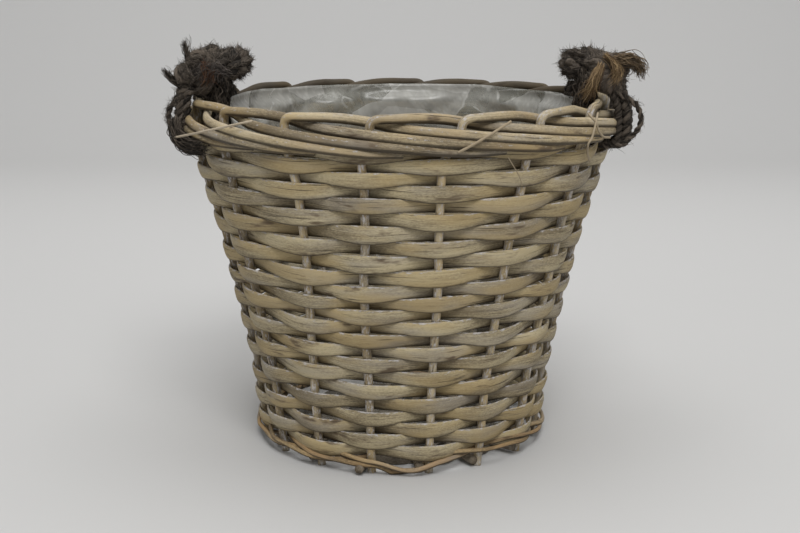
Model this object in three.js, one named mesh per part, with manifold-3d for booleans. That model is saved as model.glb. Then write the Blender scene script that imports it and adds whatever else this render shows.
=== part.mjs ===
// A round willow basket with a film liner and two rope handles. Millimetres, +Z up, floor at z = 0.
// The front is -Y and the handles are on -X and +X. Each stake is one rod: it stands in the wall,
// bends at the top and becomes one rod of the rolled border. Flat split strips weave round the
// stakes row by row, three thin strands make the wale at the foot, and the base is a slath of
// crossed sticks with two strips woven between its arms.
import * as THREE from 'three';
import { mergeVertices } from 'three/addons/utils/BufferGeometryUtils.js';
import Module from 'manifold-3d';

const wasm = await Module();
wasm.setup();

// Clearance between pieces that touch on the real basket.
const FIT = 0.3;

// Stakes
const STAKE_COUNT = 16;
const STAKE_DIAMETER = 5.8;
const STAKE_SIDES = 6;
const STAKE_FOOT_HEIGHT = 4;
const FOOT_RADIUS = 93;
const WALL_LEAN = THREE.MathUtils.degToRad(12.25);

// Side weave
const ROW_COUNT = 24;
const STRIP_WIDTH = 8.82;
const STRIP_BELLY = 1.1;
const STRIP_THICKNESS = 1.7;
const STRIP_END_GAP = 1.2;
// From each row to the next, where the strip's ends meet moves on by this many stakes.
const ROW_START_STEP = 5;

// Wale at the foot of the weave
const WALE_STRANDS = 3;
const WALE_DIAMETER = 3.2;
const WALE_SIDES = 5;
// How far a strand climbs and drops between two stakes, in strand pitches.
const WALE_TWIST = 0.5;

// Rolled border: how far a rod travels before it is cut, in gaps between stakes, and the radius
// of its bend. How high the bend ends, how far out it drifts, how high the cut end lies and how far
// out the lowest rods lie are in rod pitches. Those hang down over the top row by the overlap.
const BORDER_TRAVEL = 3.95;
const BORDER_OVERLAP = 8.65;
const BORDER_TAIL_OUT = 1.34;
const BORDER_BEND_RADIUS = 7;
const BORDER_BEND_TOP = 3.6;
const BORDER_BEND_DRIFT = 0.22;
const BORDER_END_LIFT = 0.15;

// Base: the arms end beside the stakes, and one arm at the front stands out under the wale.
const BASE_STICK_DIAMETER = 6;
const BASE_STICK_STANDOUT = 6;
const LONG_STICK = 1;
const BASE_HUB_RADIUS = 38;
const BASE_WEAVE_START = 46;
const BASE_STRIP_WIDTH = 8;
const BASE_STRIP_THICKNESS = 1.2;
const BASE_LIFT = 0.3;

// Film liner
const FILM_THICKNESS = 0.5;
const FILM_SIDES = 2 * STAKE_COUNT;
const FILM_RIM_DROP = 2.5;
const FILM_RIM_LEAN = 2;

// Rope handles
const ROPE_DIAMETER = 20;
const ROPE_SIDES = 10;
const ARCH_STEPS = 14;
const KNOT_RADIUS = 17;
const KNOT_SIDES = 14;
const KNOT_SETTLE = 0.5;
const HANDLE_HALF_ANGLE = THREE.MathUtils.degToRad(16);
const HANDLE_RISE = 24;
const HANDLE_LEAN = THREE.MathUtils.degToRad(80);
const LASHING_WIDTH = 16;
const LASHING_THICKNESS = 4.2;
const LASHING_BULK = 10;
const LASHING_SIDES = 8;

// Worked out from the sizes above
const TAU = 2 * Math.PI;
const gap = TAU / STAKE_COUNT;
const stakeRadius = STAKE_DIAMETER / 2;
const rowPitch = STRIP_WIDTH + FIT;
const stripSwing = stakeRadius + FIT + STRIP_THICKNESS / 2;
const stickRadius = BASE_STICK_DIAMETER / 2;
const stickHeight = BASE_LIFT + BASE_STRIP_THICKNESS + FIT + stickRadius;
const stickTop = stickHeight + stickRadius;
const waleRadius = WALE_DIAMETER / 2;
const waleSwing = stakeRadius + FIT + waleRadius;
const walePitch = WALE_DIAMETER + FIT;
const waleReach = WALE_TWIST * walePitch + waleRadius;
const waleLevel = (stickTop + FIT + waleSwing * Math.sin(WALL_LEAN)) / Math.cos(WALL_LEAN) + waleReach;
const weaveBottom = waleLevel + waleReach + FIT;
const weaveTop = weaveBottom + ROW_COUNT * rowPitch;
const weaveTopHeight = weaveTop * Math.cos(WALL_LEAN);
const borderRadius = FOOT_RADIUS + weaveTop * Math.sin(WALL_LEAN);
const rodPitch = STAKE_DIAMETER + FIT;

// Angle of a stake, from the front of the basket towards its right.
const stakeAngle = (index) => (index + 0.5) * gap;

// A point at a radius, an angle from the front and a height.
function polar(radius, angle, height) {
  return new THREE.Vector3(radius * Math.sin(angle), -radius * Math.cos(angle), height);
}

// A point on the leaning wall: up is measured along the wall from the floor, and out square to it.
function wallPoint(angle, up, out) {
  const radius = FOOT_RADIUS + up * Math.sin(WALL_LEAN) + out * Math.cos(WALL_LEAN);
  return polar(radius, angle, up * Math.cos(WALL_LEAN) - out * Math.sin(WALL_LEAN));
}

// A curve whose steps are the given points, so that a bend gets short steps and a straight run one.
class StepPath extends THREE.Curve {
  constructor(points) {
    super();
    this.points = points;
  }

  getPoint(t, target = new THREE.Vector3()) {
    const place = t * (this.points.length - 1);
    const index = Math.min(Math.floor(place), this.points.length - 2);
    return target.lerpVectors(this.points[index], this.points[index + 1], place - index);
  }

  getPointAt(u, target) {
    return this.getPoint(u, target);
  }

  getTangentAt(u, target = new THREE.Vector3()) {
    const index = Math.round(u * (this.points.length - 1));
    const before = this.points[Math.max(index - 1, 0)];
    const here = this.points[index];
    const after = this.points[Math.min(index + 1, this.points.length - 1)];
    target.set(0, 0, 0);
    for (const [from, to] of [[before, here], [here, after]]) {
      if (from !== to) target.add(to.clone().sub(from).normalize());
    }
    return target.normalize();
  }
}

// A section with straight sides round an ellipse.
function ovalShape(width, height, sides) {
  const points = Array.from({ length: sides }, (_, i) => {
    const a = ((i + 0.5) * TAU) / sides;
    return new THREE.Vector2((width / 2) * Math.cos(a), (height / 2) * Math.sin(a));
  });
  return new THREE.Shape(points);
}

// A solid rod along points.
function rod(points, width, height, sides) {
  return new THREE.ExtrudeGeometry(ovalShape(width, height, sides), {
    steps: points.length - 1,
    extrudePath: new StepPath(points),
  });
}

// A closed skin over a row of sections with the same number of corners, with both ends filled.
function loft(sections) {
  const corners = sections[0].length;
  const last = (sections.length - 1) * corners;
  const index = [];
  for (let row = 0; row < sections.length - 1; row += 1) {
    for (let i = 0; i < corners; i += 1) {
      const a = row * corners + i;
      const b = row * corners + ((i + 1) % corners);
      index.push(a, b + corners, b, a, a + corners, b + corners);
    }
  }
  for (let i = 1; i < corners - 1; i += 1) {
    index.push(0, i, i + 1);
    index.push(last, last + i + 1, last + i);
  }
  const geometry = new THREE.BufferGeometry().setFromPoints(sections.flat());
  geometry.setIndex(index);
  geometry.computeVertexNormals();
  return geometry;
}

// Stake and rolled border. A rod's way through the border is given at each place as gaps travelled,
// then how far out of the circle of stakes and how high above the border's lowest rod, both in rods:
// it rises, crosses over the rod before it, passes behind the next stake, comes to the outside under
// the next rod and slants down across the outside, one rod lower at each stake.
const BORDER_WAY = [
  [0.25, 0.2, 3.62],
  [0.5, -0.15, 3.65],
  [0.75, -0.68, 3.52],
  [1, -1.08, 3.2],
  [1.25, -0.62, 2.75],
  [1.5, 0.12, 2.48],
  [1.75, 0.75, 2.34],
  [2, 1.05, tailRise(2)],
  ...[2.5, 3, 3.5, BORDER_TRAVEL].map((travel) => [travel, BORDER_TAIL_OUT, tailRise(travel)]),
];
const highestRod = Math.max(...BORDER_WAY.map(([, , up]) => up));
const innermostRod = Math.min(...BORDER_WAY.map(([, out]) => out));
const lowestRodHeight = weaveTopHeight + FIT + stakeRadius - BORDER_OVERLAP;
const borderTop = lowestRodHeight + highestRod * rodPitch + stakeRadius;

function tailRise(travel) {
  return BORDER_TRAVEL + BORDER_END_LIFT - travel;
}

function borderPoint(angle, [travel, out, up]) {
  return polar(borderRadius + out * rodPitch, angle + travel * gap, lowestRodHeight + up * rodPitch);
}

function stake(index) {
  const angle = stakeAngle(index);
  const knee = wallPoint(angle, STAKE_FOOT_HEIGHT / Math.cos(WALL_LEAN), 0);
  const foot = new THREE.Vector3(knee.x, knee.y, 0);
  const bendStart = lowestRodHeight + BORDER_BEND_TOP * rodPitch - BORDER_BEND_RADIUS;
  const points = [foot, knee, wallPoint(angle, weaveTop, 0), polar(borderRadius, angle, bendStart)];
  for (const turn of [Math.PI / 6, Math.PI / 3, Math.PI / 2]) {
    const along = BORDER_BEND_RADIUS * (1 - Math.cos(turn));
    const rise = BORDER_BEND_RADIUS * Math.sin(turn);
    const out = BORDER_BEND_DRIFT * rodPitch * (1 - Math.cos(turn));
    points.push(polar(borderRadius + out, angle + along / borderRadius, bendStart + rise));
  }
  points.push(...BORDER_WAY.map((way) => borderPoint(angle, way)));
  return rod(points, STAKE_DIAMETER, STAKE_DIAMETER, STAKE_SIDES);
}

// Where the ropes are lashed to the border, and the middle height of each lashing's turn under it.
// The flat top of a lashing reaches a fifth of its width to each side.
const lashingAngles = [-1, 1].flatMap((side) => [-1, 1].map(
  (end) => side * (Math.PI / 2 + end * HANDLE_HALF_ANGLE),
));

function lashingLevel(angle) {
  const fromStake = (((angle / gap - 0.5) % 1) + 1) % 1;
  const edge = LASHING_WIDTH / 5 / borderRadius / gap;
  const travel = Math.min(Math.floor(BORDER_TRAVEL - fromStake) + fromStake + edge, BORDER_TRAVEL);
  const rodUnderside = lowestRodHeight + tailRise(travel) * rodPitch - stakeRadius;
  return rodUnderside - FIT - LASHING_THICKNESS / 2;
}

// How far the top row is pressed up and the row below it down at an angle, to let the nearest
// lashing pass between them.
function rowsApart(angle) {
  const near = lashingAngles.filter((lashed) => Math.cos(angle - lashed) > Math.cos(gap / 2));
  if (near.length === 0) return [0, 0];
  const room = LASHING_THICKNESS / 2 + FIT + stripSwing * Math.sin(WALL_LEAN);
  const above = lashingLevel(near[0]) / Math.cos(WALL_LEAN) - (weaveTop - rowPitch);
  return [Math.max(room + above, 0), Math.max(room - above, 0)];
}

// One row of the side weave: a flat strip in front of every second stake and behind the others.
// Its two ends meet behind a stake. The two top rows make room for the rope lashings.
function weaverRow(row) {
  const middle = weaveBottom + (row + 0.5) * rowPitch;
  const firstStake = (ROW_START_STEP * (row + 1)) % STAKE_COUNT;
  const steps = 2 * STAKE_COUNT;
  const sections = [];
  for (let step = 0; step <= steps; step += 1) {
    const atStake = step % 2 === 0;
    const side = atStake ? (step % 4 === 0 ? -1 : 1) : 0;
    const belly = (atStake ? STRIP_BELLY : 0) / 2;
    const angle = stakeAngle(firstStake) + (step * gap) / 2;
    const endShift = step === 0 ? 1 : step === steps ? -1 : 0;
    const radius = FOOT_RADIUS + middle * Math.sin(WALL_LEAN);
    const place = angle + (endShift * STRIP_END_GAP) / 2 / radius;
    const [pressedUp, pressedDown] = rowsApart(angle);
    const upper = middle + STRIP_WIDTH / 2 + (row === ROW_COUNT - 2 && pressedDown ? -pressedDown : belly);
    const lower = middle - STRIP_WIDTH / 2 - (row === 0 ? 0 : row === ROW_COUNT - 1 && pressedUp ? -pressedUp : belly);
    const outside = side * stripSwing + STRIP_THICKNESS / 2;
    const inside = side * stripSwing - STRIP_THICKNESS / 2;
    sections.push([
      wallPoint(place, upper, inside),
      wallPoint(place, lower, inside),
      wallPoint(place, lower, outside),
      wallPoint(place, upper, outside),
    ]);
  }
  return loft(sections);
}

// One of three wale strands: behind one stake and across the front of two, moving down as it goes.
// Each starts behind its own stake and ends behind the last such stake before it, one round on.
const WALE_WAY = [
  [-1, 0],
  [0, WALE_TWIST],
  [1, 0.5],
  [1, 0],
  [1, -0.5],
  [0, -WALE_TWIST],
];

function waleStrand(strand) {
  const steps = 2 * (STAKE_COUNT - (STAKE_COUNT % WALE_STRANDS));
  const radius = FOOT_RADIUS + waleLevel * Math.sin(WALL_LEAN);
  const points = [];
  for (let step = 0; step <= steps; step += 1) {
    const [out, up] = WALE_WAY[step % WALE_WAY.length];
    const endShift = step === 0 ? 1 : step === steps ? -1 : 0;
    const angle = stakeAngle(strand) + (step * gap) / 2 + (endShift * STRIP_END_GAP) / 2 / radius;
    points.push(wallPoint(angle, waleLevel + up * walePitch, out * waleSwing));
  }
  return rod(points, WALE_DIAMETER, WALE_DIAMETER, WALE_SIDES);
}

// Base sticks: half of them lie side by side one way, the others cross over them, and all fan out
// into arms, each of which comes out beside a stake.
const sticksEachWay = STAKE_COUNT / 4;
const stickPitch = BASE_STICK_DIAMETER + FIT;
const hubHalf = (sticksEachWay / 2) * stickPitch + FIT;
const footRadius = FOOT_RADIUS + stickHeight * Math.tan(WALL_LEAN);
const stickReach = footRadius + stakeRadius;
const armShift = Math.asin((stakeRadius + stickRadius + FIT) / footRadius);
const armAngle = (index) => stakeAngle(index) - armShift;

function baseStick(crossing, index) {
  const place = index - (sticksEachWay - 1) / 2;
  const standOut = !crossing && index === LONG_STICK ? BASE_STICK_STANDOUT : 0;
  const nearHalf = [
    polar(stickReach, place * gap, stickHeight),
    polar(BASE_HUB_RADIUS, place * gap, stickHeight),
    new THREE.Vector3(place * stickPitch, -hubHalf, stickHeight + (crossing ? stickPitch : 0)),
  ];
  const farHalf = nearHalf.map(({ x, y, z }) => new THREE.Vector3(x, -y, z)).reverse();
  nearHalf[0] = polar(stickReach + standOut, place * gap, stickHeight);
  const geometry = rod([...nearHalf, ...farHalf], BASE_STICK_DIAMETER, BASE_STICK_DIAMETER, STAKE_SIDES);
  return geometry.rotateZ((crossing ? Math.PI / 2 : 0) - armShift);
}

// Two strips woven between the arms of the base side by side, one over the arms that the other
// goes under, each moving out by two widths a round.
function baseWeaver(strand) {
  const pitch = BASE_STRIP_WIDTH + FIT;
  const swing = stickRadius + FIT + BASE_STRIP_THICKNESS / 2;
  const outerLimit = FOOT_RADIUS - stakeRadius - FIT - BASE_STRIP_WIDTH / 2;
  const crossings = Math.floor(((outerLimit - BASE_WEAVE_START) / (2 * pitch)) * STAKE_COUNT);
  const firstArm = (strand * STAKE_COUNT) / 2;
  const sections = [];
  for (let crossing = 0; crossing <= crossings; crossing += 1) {
    const radius = BASE_WEAVE_START + (2 * pitch * crossing) / STAKE_COUNT;
    const side = (crossing + strand) % 2 === 0 ? -1 : 1;
    const height = stickHeight + side * swing;
    for (const edge of [-1, 1]) {
      const angle = armAngle(firstArm + crossing) + (edge * stickRadius) / radius;
      const inner = radius - BASE_STRIP_WIDTH / 2;
      const outer = radius + BASE_STRIP_WIDTH / 2;
      const low = height - BASE_STRIP_THICKNESS / 2;
      const high = height + BASE_STRIP_THICKNESS / 2;
      sections.push([
        polar(inner, angle, high),
        polar(inner, angle, low),
        polar(outer, angle, low),
        polar(outer, angle, high),
      ]);
    }
  }
  return loft(sections);
}

// Film liner: an open cup inside the weave, drawn in under the border so that it clears the lashings.
const filmGap = Math.max(stripSwing + STRIP_THICKNESS / 2, waleSwing + waleRadius) + FIT;
const filmFloor = stickHeight + stickPitch + stickRadius + FIT;
const lashingInner = innermostRod * rodPitch - stakeRadius - FIT - LASHING_THICKNESS / 2;
const filmNeckRadius = borderRadius + lashingInner - LASHING_THICKNESS / 2 - FIT;

function liner() {
  const wallRadius = (height) => FOOT_RADIUS + height * Math.tan(WALL_LEAN) - filmGap / Math.cos(WALL_LEAN);
  const neck = Math.min(...lashingAngles.map(lashingLevel)) - LASHING_THICKNESS;
  const shoulder = neck - rowPitch;
  const outline = [
    [wallRadius(filmFloor), filmFloor],
    [wallRadius(shoulder), shoulder],
    [filmNeckRadius, neck],
    [filmNeckRadius - FILM_RIM_LEAN, borderTop - FILM_RIM_DROP],
  ];
  const inner = outline.map(([radius, height], i) => [radius - FILM_THICKNESS, height + (i ? 0 : FILM_THICKNESS)]);
  const profile = [[0, filmFloor], ...outline, ...inner.reverse(), [0, filmFloor + FILM_THICKNESS]];
  const points = profile.map(([radius, height]) => new THREE.Vector2(radius, height));
  return new THREE.LatheGeometry(points, FILM_SIDES, stakeAngle(0)).rotateX(Math.PI / 2);
}

// Rope handle: an arch between two knots that sit on the border, leaning over the opening.
// The knots are round about the line through both, on which the handle swings.
const knotHeight = borderTop + FIT - KNOT_SETTLE + KNOT_RADIUS;
const knotAcross = borderRadius * Math.cos(HANDLE_HALF_ANGLE);
const knotAlong = borderRadius * Math.sin(HANDLE_HALF_ANGLE);

function solidOf(geometry) {
  const bare = geometry.clone();
  bare.deleteAttribute('normal');
  bare.deleteAttribute('uv');
  const merged = mergeVertices(bare, 1e-4);
  return new wasm.Manifold(new wasm.Mesh({
    numProp: 3,
    vertProperties: new Float32Array(merged.attributes.position.array),
    triVerts: new Uint32Array(merged.index.array),
  }));
}

function geometryOf(solid) {
  const mesh = solid.getMesh();
  const geometry = new THREE.BufferGeometry();
  geometry.setAttribute('position', new THREE.BufferAttribute(new Float32Array(mesh.vertProperties), 3));
  geometry.setIndex(new THREE.BufferAttribute(new Uint32Array(mesh.triVerts), 1));
  geometry.computeVertexNormals();
  return geometry;
}

function handleRope(side) {
  const points = Array.from({ length: ARCH_STEPS + 1 }, (_, i) => {
    const turn = (Math.PI * i) / ARCH_STEPS;
    const rise = HANDLE_RISE * Math.sin(turn);
    return new THREE.Vector3(
      side * (knotAcross - rise * Math.sin(HANDLE_LEAN)),
      -knotAlong * Math.cos(turn),
      knotHeight + rise * Math.cos(HANDLE_LEAN),
    );
  });
  let rope = solidOf(rod(points, ROPE_DIAMETER, ROPE_DIAMETER, ROPE_SIDES));
  for (const end of [-1, 1]) {
    const knot = new THREE.SphereGeometry(KNOT_RADIUS, KNOT_SIDES, (KNOT_SIDES * 2) / 3);
    knot.translate(side * knotAcross, end * knotAlong, knotHeight);
    rope = rope.add(solidOf(knot));
  }
  return geometryOf(rope);
}

// Lashings: turns of rope that go down inside the border, out under it and up to the knot, where
// they lie thick on each other. Each place on the way is how far it is out of the inner leg, the
// wall's middle or the border's outer side, how high it is above the turn, and how thick it is.
const LASHING_TURN_IN = [[0, 6], [2, 2], [6, 0]];
const LASHING_TURN_OUT = [[-2.9, 0, 4.2], [1.7, -1, 7], [5.7, 5, 9], [5.9, 12, LASHING_BULK], [5.2, 20, LASHING_BULK]];
const LASHING_TOP_OUT = 1.5;
const LASHING_TOP_THICKNESS = 9;

function lashing(angle) {
  const borderSide = BORDER_TAIL_OUT * rodPitch + stakeRadius + FIT;
  const low = lashingLevel(angle);
  const way = [
    [lashingInner, borderTop, LASHING_THICKNESS],
    ...LASHING_TURN_IN.map(([out, up]) => [lashingInner + out, low + up, LASHING_THICKNESS]),
    ...LASHING_TURN_OUT.map(([out, up, thickness]) => [borderSide + out, low + up, thickness]),
    [borderSide + LASHING_TOP_OUT, borderTop, LASHING_TOP_THICKNESS],
  ];
  const path = new StepPath(way.map(([out, height]) => new THREE.Vector3(borderRadius + out, 0, height)));
  const corners = ovalShape(LASHING_WIDTH, 1, LASHING_SIDES).getPoints();
  const sections = way.map(([, , thickness], i) => {
    const along = path.getTangentAt(i / (way.length - 1));
    const across = new THREE.Vector3(-along.z, 0, along.x);
    return corners.slice(0, LASHING_SIDES).map(({ x, y }) => (
      path.points[i].clone().addScaledVector(across, y * thickness).add(new THREE.Vector3(0, -x, 0))
    ));
  });
  return loft(sections).rotateZ(angle - Math.PI / 2);
}

const greyWillow = { color: 0x97896f, roughness: 0.85, metalness: 0 };
const tanWillow = { color: 0xa3916c, roughness: 0.8, metalness: 0 };
const goldenWillow = { color: 0xa98452, roughness: 0.75, metalness: 0 };
const weatheredStick = { color: 0x857c6d, roughness: 0.9, metalness: 0 };
const clearFilm = { color: 0xc9ccca, roughness: 0.25, metalness: 0, transparent: true, opacity: 0.35 };
const darkRope = { color: 0x40362e, roughness: 0.95, metalness: 0 };

const basket = new THREE.Group();

function addPiece(parent, name, geometry, look) {
  const mesh = new THREE.Mesh(geometry, new THREE.MeshStandardMaterial(look));
  mesh.name = name;
  parent.add(mesh);
}

const numbered = (name, index) => `${name}_${String(index + 1).padStart(2, '0')}`;

for (let i = 0; i < STAKE_COUNT; i += 1) {
  addPiece(basket, numbered('stake', i), stake(i), tanWillow);
}
for (let row = 0; row < ROW_COUNT; row += 1) {
  addPiece(basket, numbered('weaver_row', row), weaverRow(row), greyWillow);
}
for (let strand = 0; strand < WALE_STRANDS; strand += 1) {
  addPiece(basket, numbered('wale_strand', strand), waleStrand(strand), goldenWillow);
}
for (let i = 0; i < sticksEachWay; i += 1) {
  addPiece(basket, numbered('base_stick_under', i), baseStick(false, i), weatheredStick);
  addPiece(basket, numbered('base_stick_over', i), baseStick(true, i), weatheredStick);
}
addPiece(basket, 'base_weaver_a', baseWeaver(0), greyWillow);
addPiece(basket, 'base_weaver_b', baseWeaver(1), greyWillow);
addPiece(basket, 'liner', liner(), clearFilm);
addPiece(basket, 'left_handle_rope', handleRope(-1), darkRope);
addPiece(basket, 'right_handle_rope', handleRope(1), darkRope);
const lashingNames = ['left_front_lashing', 'left_back_lashing', 'right_front_lashing', 'right_back_lashing'];
lashingAngles.forEach((angle, i) => addPiece(basket, lashingNames[i], lashing(angle), darkRope));

export default basket;
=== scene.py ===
# %% [markdown]
# # A round willow basket with rope handles
# The real basket is woven from split willow strips round sixteen stakes. The stakes bend over at
# the top and make a rolled border, a clear film lines the inside, and dark rope is lashed on as
# handles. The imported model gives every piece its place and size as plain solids. This lesson
# makes each of them again as a surface with the look of the real thing, in the same place.

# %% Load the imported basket
import bpy
import numpy as np
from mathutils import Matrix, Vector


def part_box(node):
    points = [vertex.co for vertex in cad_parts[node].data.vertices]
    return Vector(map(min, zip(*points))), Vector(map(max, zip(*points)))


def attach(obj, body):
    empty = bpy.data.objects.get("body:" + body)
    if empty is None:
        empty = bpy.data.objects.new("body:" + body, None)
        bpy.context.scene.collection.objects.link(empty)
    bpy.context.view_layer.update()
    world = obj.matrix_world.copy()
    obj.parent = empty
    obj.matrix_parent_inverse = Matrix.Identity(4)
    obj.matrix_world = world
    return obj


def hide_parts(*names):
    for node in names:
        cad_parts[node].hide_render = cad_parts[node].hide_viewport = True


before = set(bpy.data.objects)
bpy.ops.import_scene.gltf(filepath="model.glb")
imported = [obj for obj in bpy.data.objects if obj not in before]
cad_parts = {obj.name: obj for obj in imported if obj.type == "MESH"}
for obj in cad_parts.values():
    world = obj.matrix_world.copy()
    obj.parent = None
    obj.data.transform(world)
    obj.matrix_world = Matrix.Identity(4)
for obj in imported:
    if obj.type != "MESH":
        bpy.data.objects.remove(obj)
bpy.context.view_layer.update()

# %% [markdown]
# ## The camera
# The picture was taken from a little above the rim with a medium long lens. A camera that looks
# down by about twelve and a half degrees from 0.93 m away shows the same ellipse at the rim and
# the same curve at the foot. The lens is given for a sensor 36 mm wide.

# %% Place the camera
CAMERA_PLACE = (-0.0003, -0.9319, 0.3301)
CAMERA_DOWN = 12.59
SENSOR_WIDTH = 36.0
LENS = 58.5

camera_data = bpy.data.cameras.new("camera_front")
camera_data.sensor_width = SENSOR_WIDTH
camera_data.lens = LENS
camera = bpy.data.objects.new("camera_front", camera_data)
camera.location = CAMERA_PLACE
camera.rotation_euler = (np.radians(90.0 - CAMERA_DOWN), 0.0, 0.0)
bpy.context.scene.collection.objects.link(camera)
bpy.context.scene.camera = camera
print("camera at", list(camera.location))

# %% [markdown]
# ## Sizes of the weave
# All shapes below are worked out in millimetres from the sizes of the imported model, and become
# metres when a mesh is made. Places on the leaning wall are given by an angle from the front, a
# distance up along the wall and a distance out, square to it. The real wall isn't quite a cone:
# it spreads a little more near the top and at the foot.

# %% Sizes and the places on the wall
MM = 0.001
TAU = 2.0 * np.pi
STAKE_COUNT = 16
GAP = TAU / STAKE_COUNT
LEAN = np.radians(12.25)
FOOT_RADIUS = 93.0
BORDER_RADIUS = 142.907
WEAVE_BOTTOM = 14.4
ROW_COUNT = 24
ROW_PITCH = 9.2
WEAVE_TOP = WEAVE_BOTTOM + ROW_COUNT * ROW_PITCH
ROD_PITCH = 6.1
BORDER_TOP = 249.570
FIT = 0.3
TOP_FLARE, TOP_FLARE_FROM, TOP_FLARE_TO = 3.4, 150.0, 210.0
FOOT_FLARE, FOOT_FLARE_FROM, FOOT_FLARE_TO = 4.6, 72.0, 8.0


def polar(radius, angle, height):
    """Point at a radius from the axis, an angle from the front towards the right, and a height."""
    return np.stack([radius * np.sin(angle), -radius * np.cos(angle), height + 0.0 * radius * angle], axis=-1)


def wall_point(angle, up, out):
    """Point on the leaning wall: up runs along the wall and out is square to it."""
    radius = FOOT_RADIUS + up * np.sin(LEAN) + out * np.cos(LEAN)
    return polar(radius, angle, up * np.cos(LEAN) - out * np.sin(LEAN))


def flare(up):
    """How far the wall spreads near its top and foot: size times 3t squared less 2t cubed at each."""
    high = np.clip((up - TOP_FLARE_FROM) / (TOP_FLARE_TO - TOP_FLARE_FROM), 0.0, 1.0)
    low = np.clip((up - FOOT_FLARE_FROM) / (FOOT_FLARE_TO - FOOT_FLARE_FROM), 0.0, 1.0)
    return TOP_FLARE * high * high * (3 - 2 * high) + FOOT_FLARE * low * low * (3 - 2 * low)


def stake_angle(index):
    """Angle of a stake: they stand half a gap to either side of the front."""
    return (index + 0.5) * GAP


print("weave from", WEAVE_BOTTOM, "to", WEAVE_TOP, "mm up the wall")

# %% [markdown]
# ## Stakes that wander
# The weaving pushed the real stakes round, so they don't stand at even angles. Each row of the
# table is a height up the wall and each column a stake, counted from the front to the right, and
# the values are degrees to the right. Six stakes in front follow the picture, the eight hidden
# ones swing by a slow sine, and the two at the sides stand straight. The whole border has turned
# by one small angle.

# %% Drift of the stakes
BORDER_DRIFT = 3.7
HIDDEN_DRIFT = 1.2
DRIFT_AT = [56, 70, 98, 128, 149, 169, 205, 226, 240]
DRIFT = np.zeros((len(DRIFT_AT), STAKE_COUNT))
DRIFT[:, 13] = [0, 0, 0, 0, 0.2, 0.6, 4.0, 3.2, 0]
DRIFT[:, 14] = [0.3, 1.3, 2.5, 4.0, 4.8, 5.5, 6.2, 4.8, 0]
DRIFT[:, 15] = [0, 0, 0, 0.2, 0.5, 1.6, 2.1, 1.6, 0]
DRIFT[:, 0] = [0, 0, 0, 0, -0.2, -0.8, -1.2, -1.0, 0]
DRIFT[:, 1] = [-1.2, -1.1, -1.1, -0.9, -0.8, -1.0, -0.6, -0.3, 0]
DRIFT[:, 2] = [0, 0, 0, 0, 0, -0.9, -2.6, -2.0, 0]
DRIFT[:, 4:12] = [[HIDDEN_DRIFT * np.sin(2.1 * k + 0.02 * up) for k in range(8)] for up in DRIFT_AT]
DRIFT[-1] = BORDER_DRIFT


def drift(place, up):
    """Angle by which the wall's stakes have moved round, between stakes and between heights."""
    columns = [np.interp(up, DRIFT_AT, DRIFT[:, k % STAKE_COUNT]) for k in range(STAKE_COUNT + 1)]
    return np.radians(np.interp(place % STAKE_COUNT, np.arange(STAKE_COUNT + 1), columns))


print("stakes drift by up to", DRIFT.max(), "degrees")

# %% [markdown]
# ## Uneven by nature
# No rod or strip is straight or even. A smooth wander, made from random heights at even spacing
# joined by cubic steps, gives widths, places and tones their slow change. Each piece gets its
# own seeded source of random numbers, so the basket comes out the same every time.

# %% A smooth wander and seeded random numbers
def seeded(*numbers):
    """A source of random numbers that depends only on the given numbers."""
    return np.random.default_rng([2575, *numbers])


def wander(x, spacing, rng):
    """Smooth curve between -1 and 1: random heights every spacing, joined by cubic steps."""
    place = np.asarray(x, dtype=float) / spacing
    cell = np.floor(place).astype(int)
    part = place - cell
    cell = cell - cell.min()
    heights = rng.uniform(-1.0, 1.0, cell.max() + 4)
    a, b, c, d = (heights[cell + k] for k in range(4))
    return b + 0.5 * part * (c - a + part * (2 * a - 5 * b + 4 * c - d + part * (3 * (b - c) + d - a)))


def unit(vectors):
    """Vectors made one long."""
    return vectors / np.maximum(np.linalg.norm(vectors, axis=-1, keepdims=True), 1e-9)


print("wander at 0, 1, 2:", wander(np.arange(3.0), 2.0, seeded(1)).round(3))

# %% [markdown]
# ## From rings to a closed mesh
# Every rod, strip and yarn here is the same kind of surface: a section carried along a path. The
# section's corners make a ring at each step, neighbouring rings are joined by four-sided faces,
# and each end is closed by a fan round a middle point. Several such skins can share one mesh.
# Each point also keeps its place in the straight, unbent rod, so that the grain in the material
# follows the rod round every bend.

# %% Carry a section along a path and skin it
def sweep(path, reference, section):
    """Rings round a path: section x goes to the side of the path and y towards the reference."""
    along = unit(np.gradient(path, axis=-2))
    normal = unit(reference - (reference * along).sum(-1, keepdims=True) * along)
    side = np.cross(along, normal)
    moved = path[..., None, :] + section[..., 0:1] * side[..., None, :]
    return moved + section[..., 1:2] * normal[..., None, :]


def length_along(path):
    """Distance from the start of the path to each of its points."""
    steps = np.linalg.norm(np.diff(path, axis=-2), axis=-1)
    return np.concatenate([np.zeros_like(steps[..., :1]), np.cumsum(steps, axis=-1)], axis=-1)


def skin_faces(skins, rings, corners):
    """Corner lists of the faces: quads between rings, then fans round the two middle points."""
    size = rings * corners + 2
    base = np.arange(skins)[:, None, None] * size
    ring = np.arange(rings - 1)[None, :, None] * corners
    here = np.arange(corners)[None, None, :]
    after = (here + 1) % corners
    quads = np.stack([here, after, after + corners, here + corners], axis=-1)
    quads = (quads + (base + ring)[..., None]).reshape(-1, 4)
    first, last = size - 2, size - 1
    low = np.stack([after, here, np.full_like(here, first)], axis=-1) + base[..., None]
    high = np.stack([here, after, np.full_like(here, last - (rings - 1) * corners)], axis=-1)
    high = high + (base + (rings - 1) * corners)[..., None]
    return quads, np.concatenate([low.reshape(-1, 3), high.reshape(-1, 3)])


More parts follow.
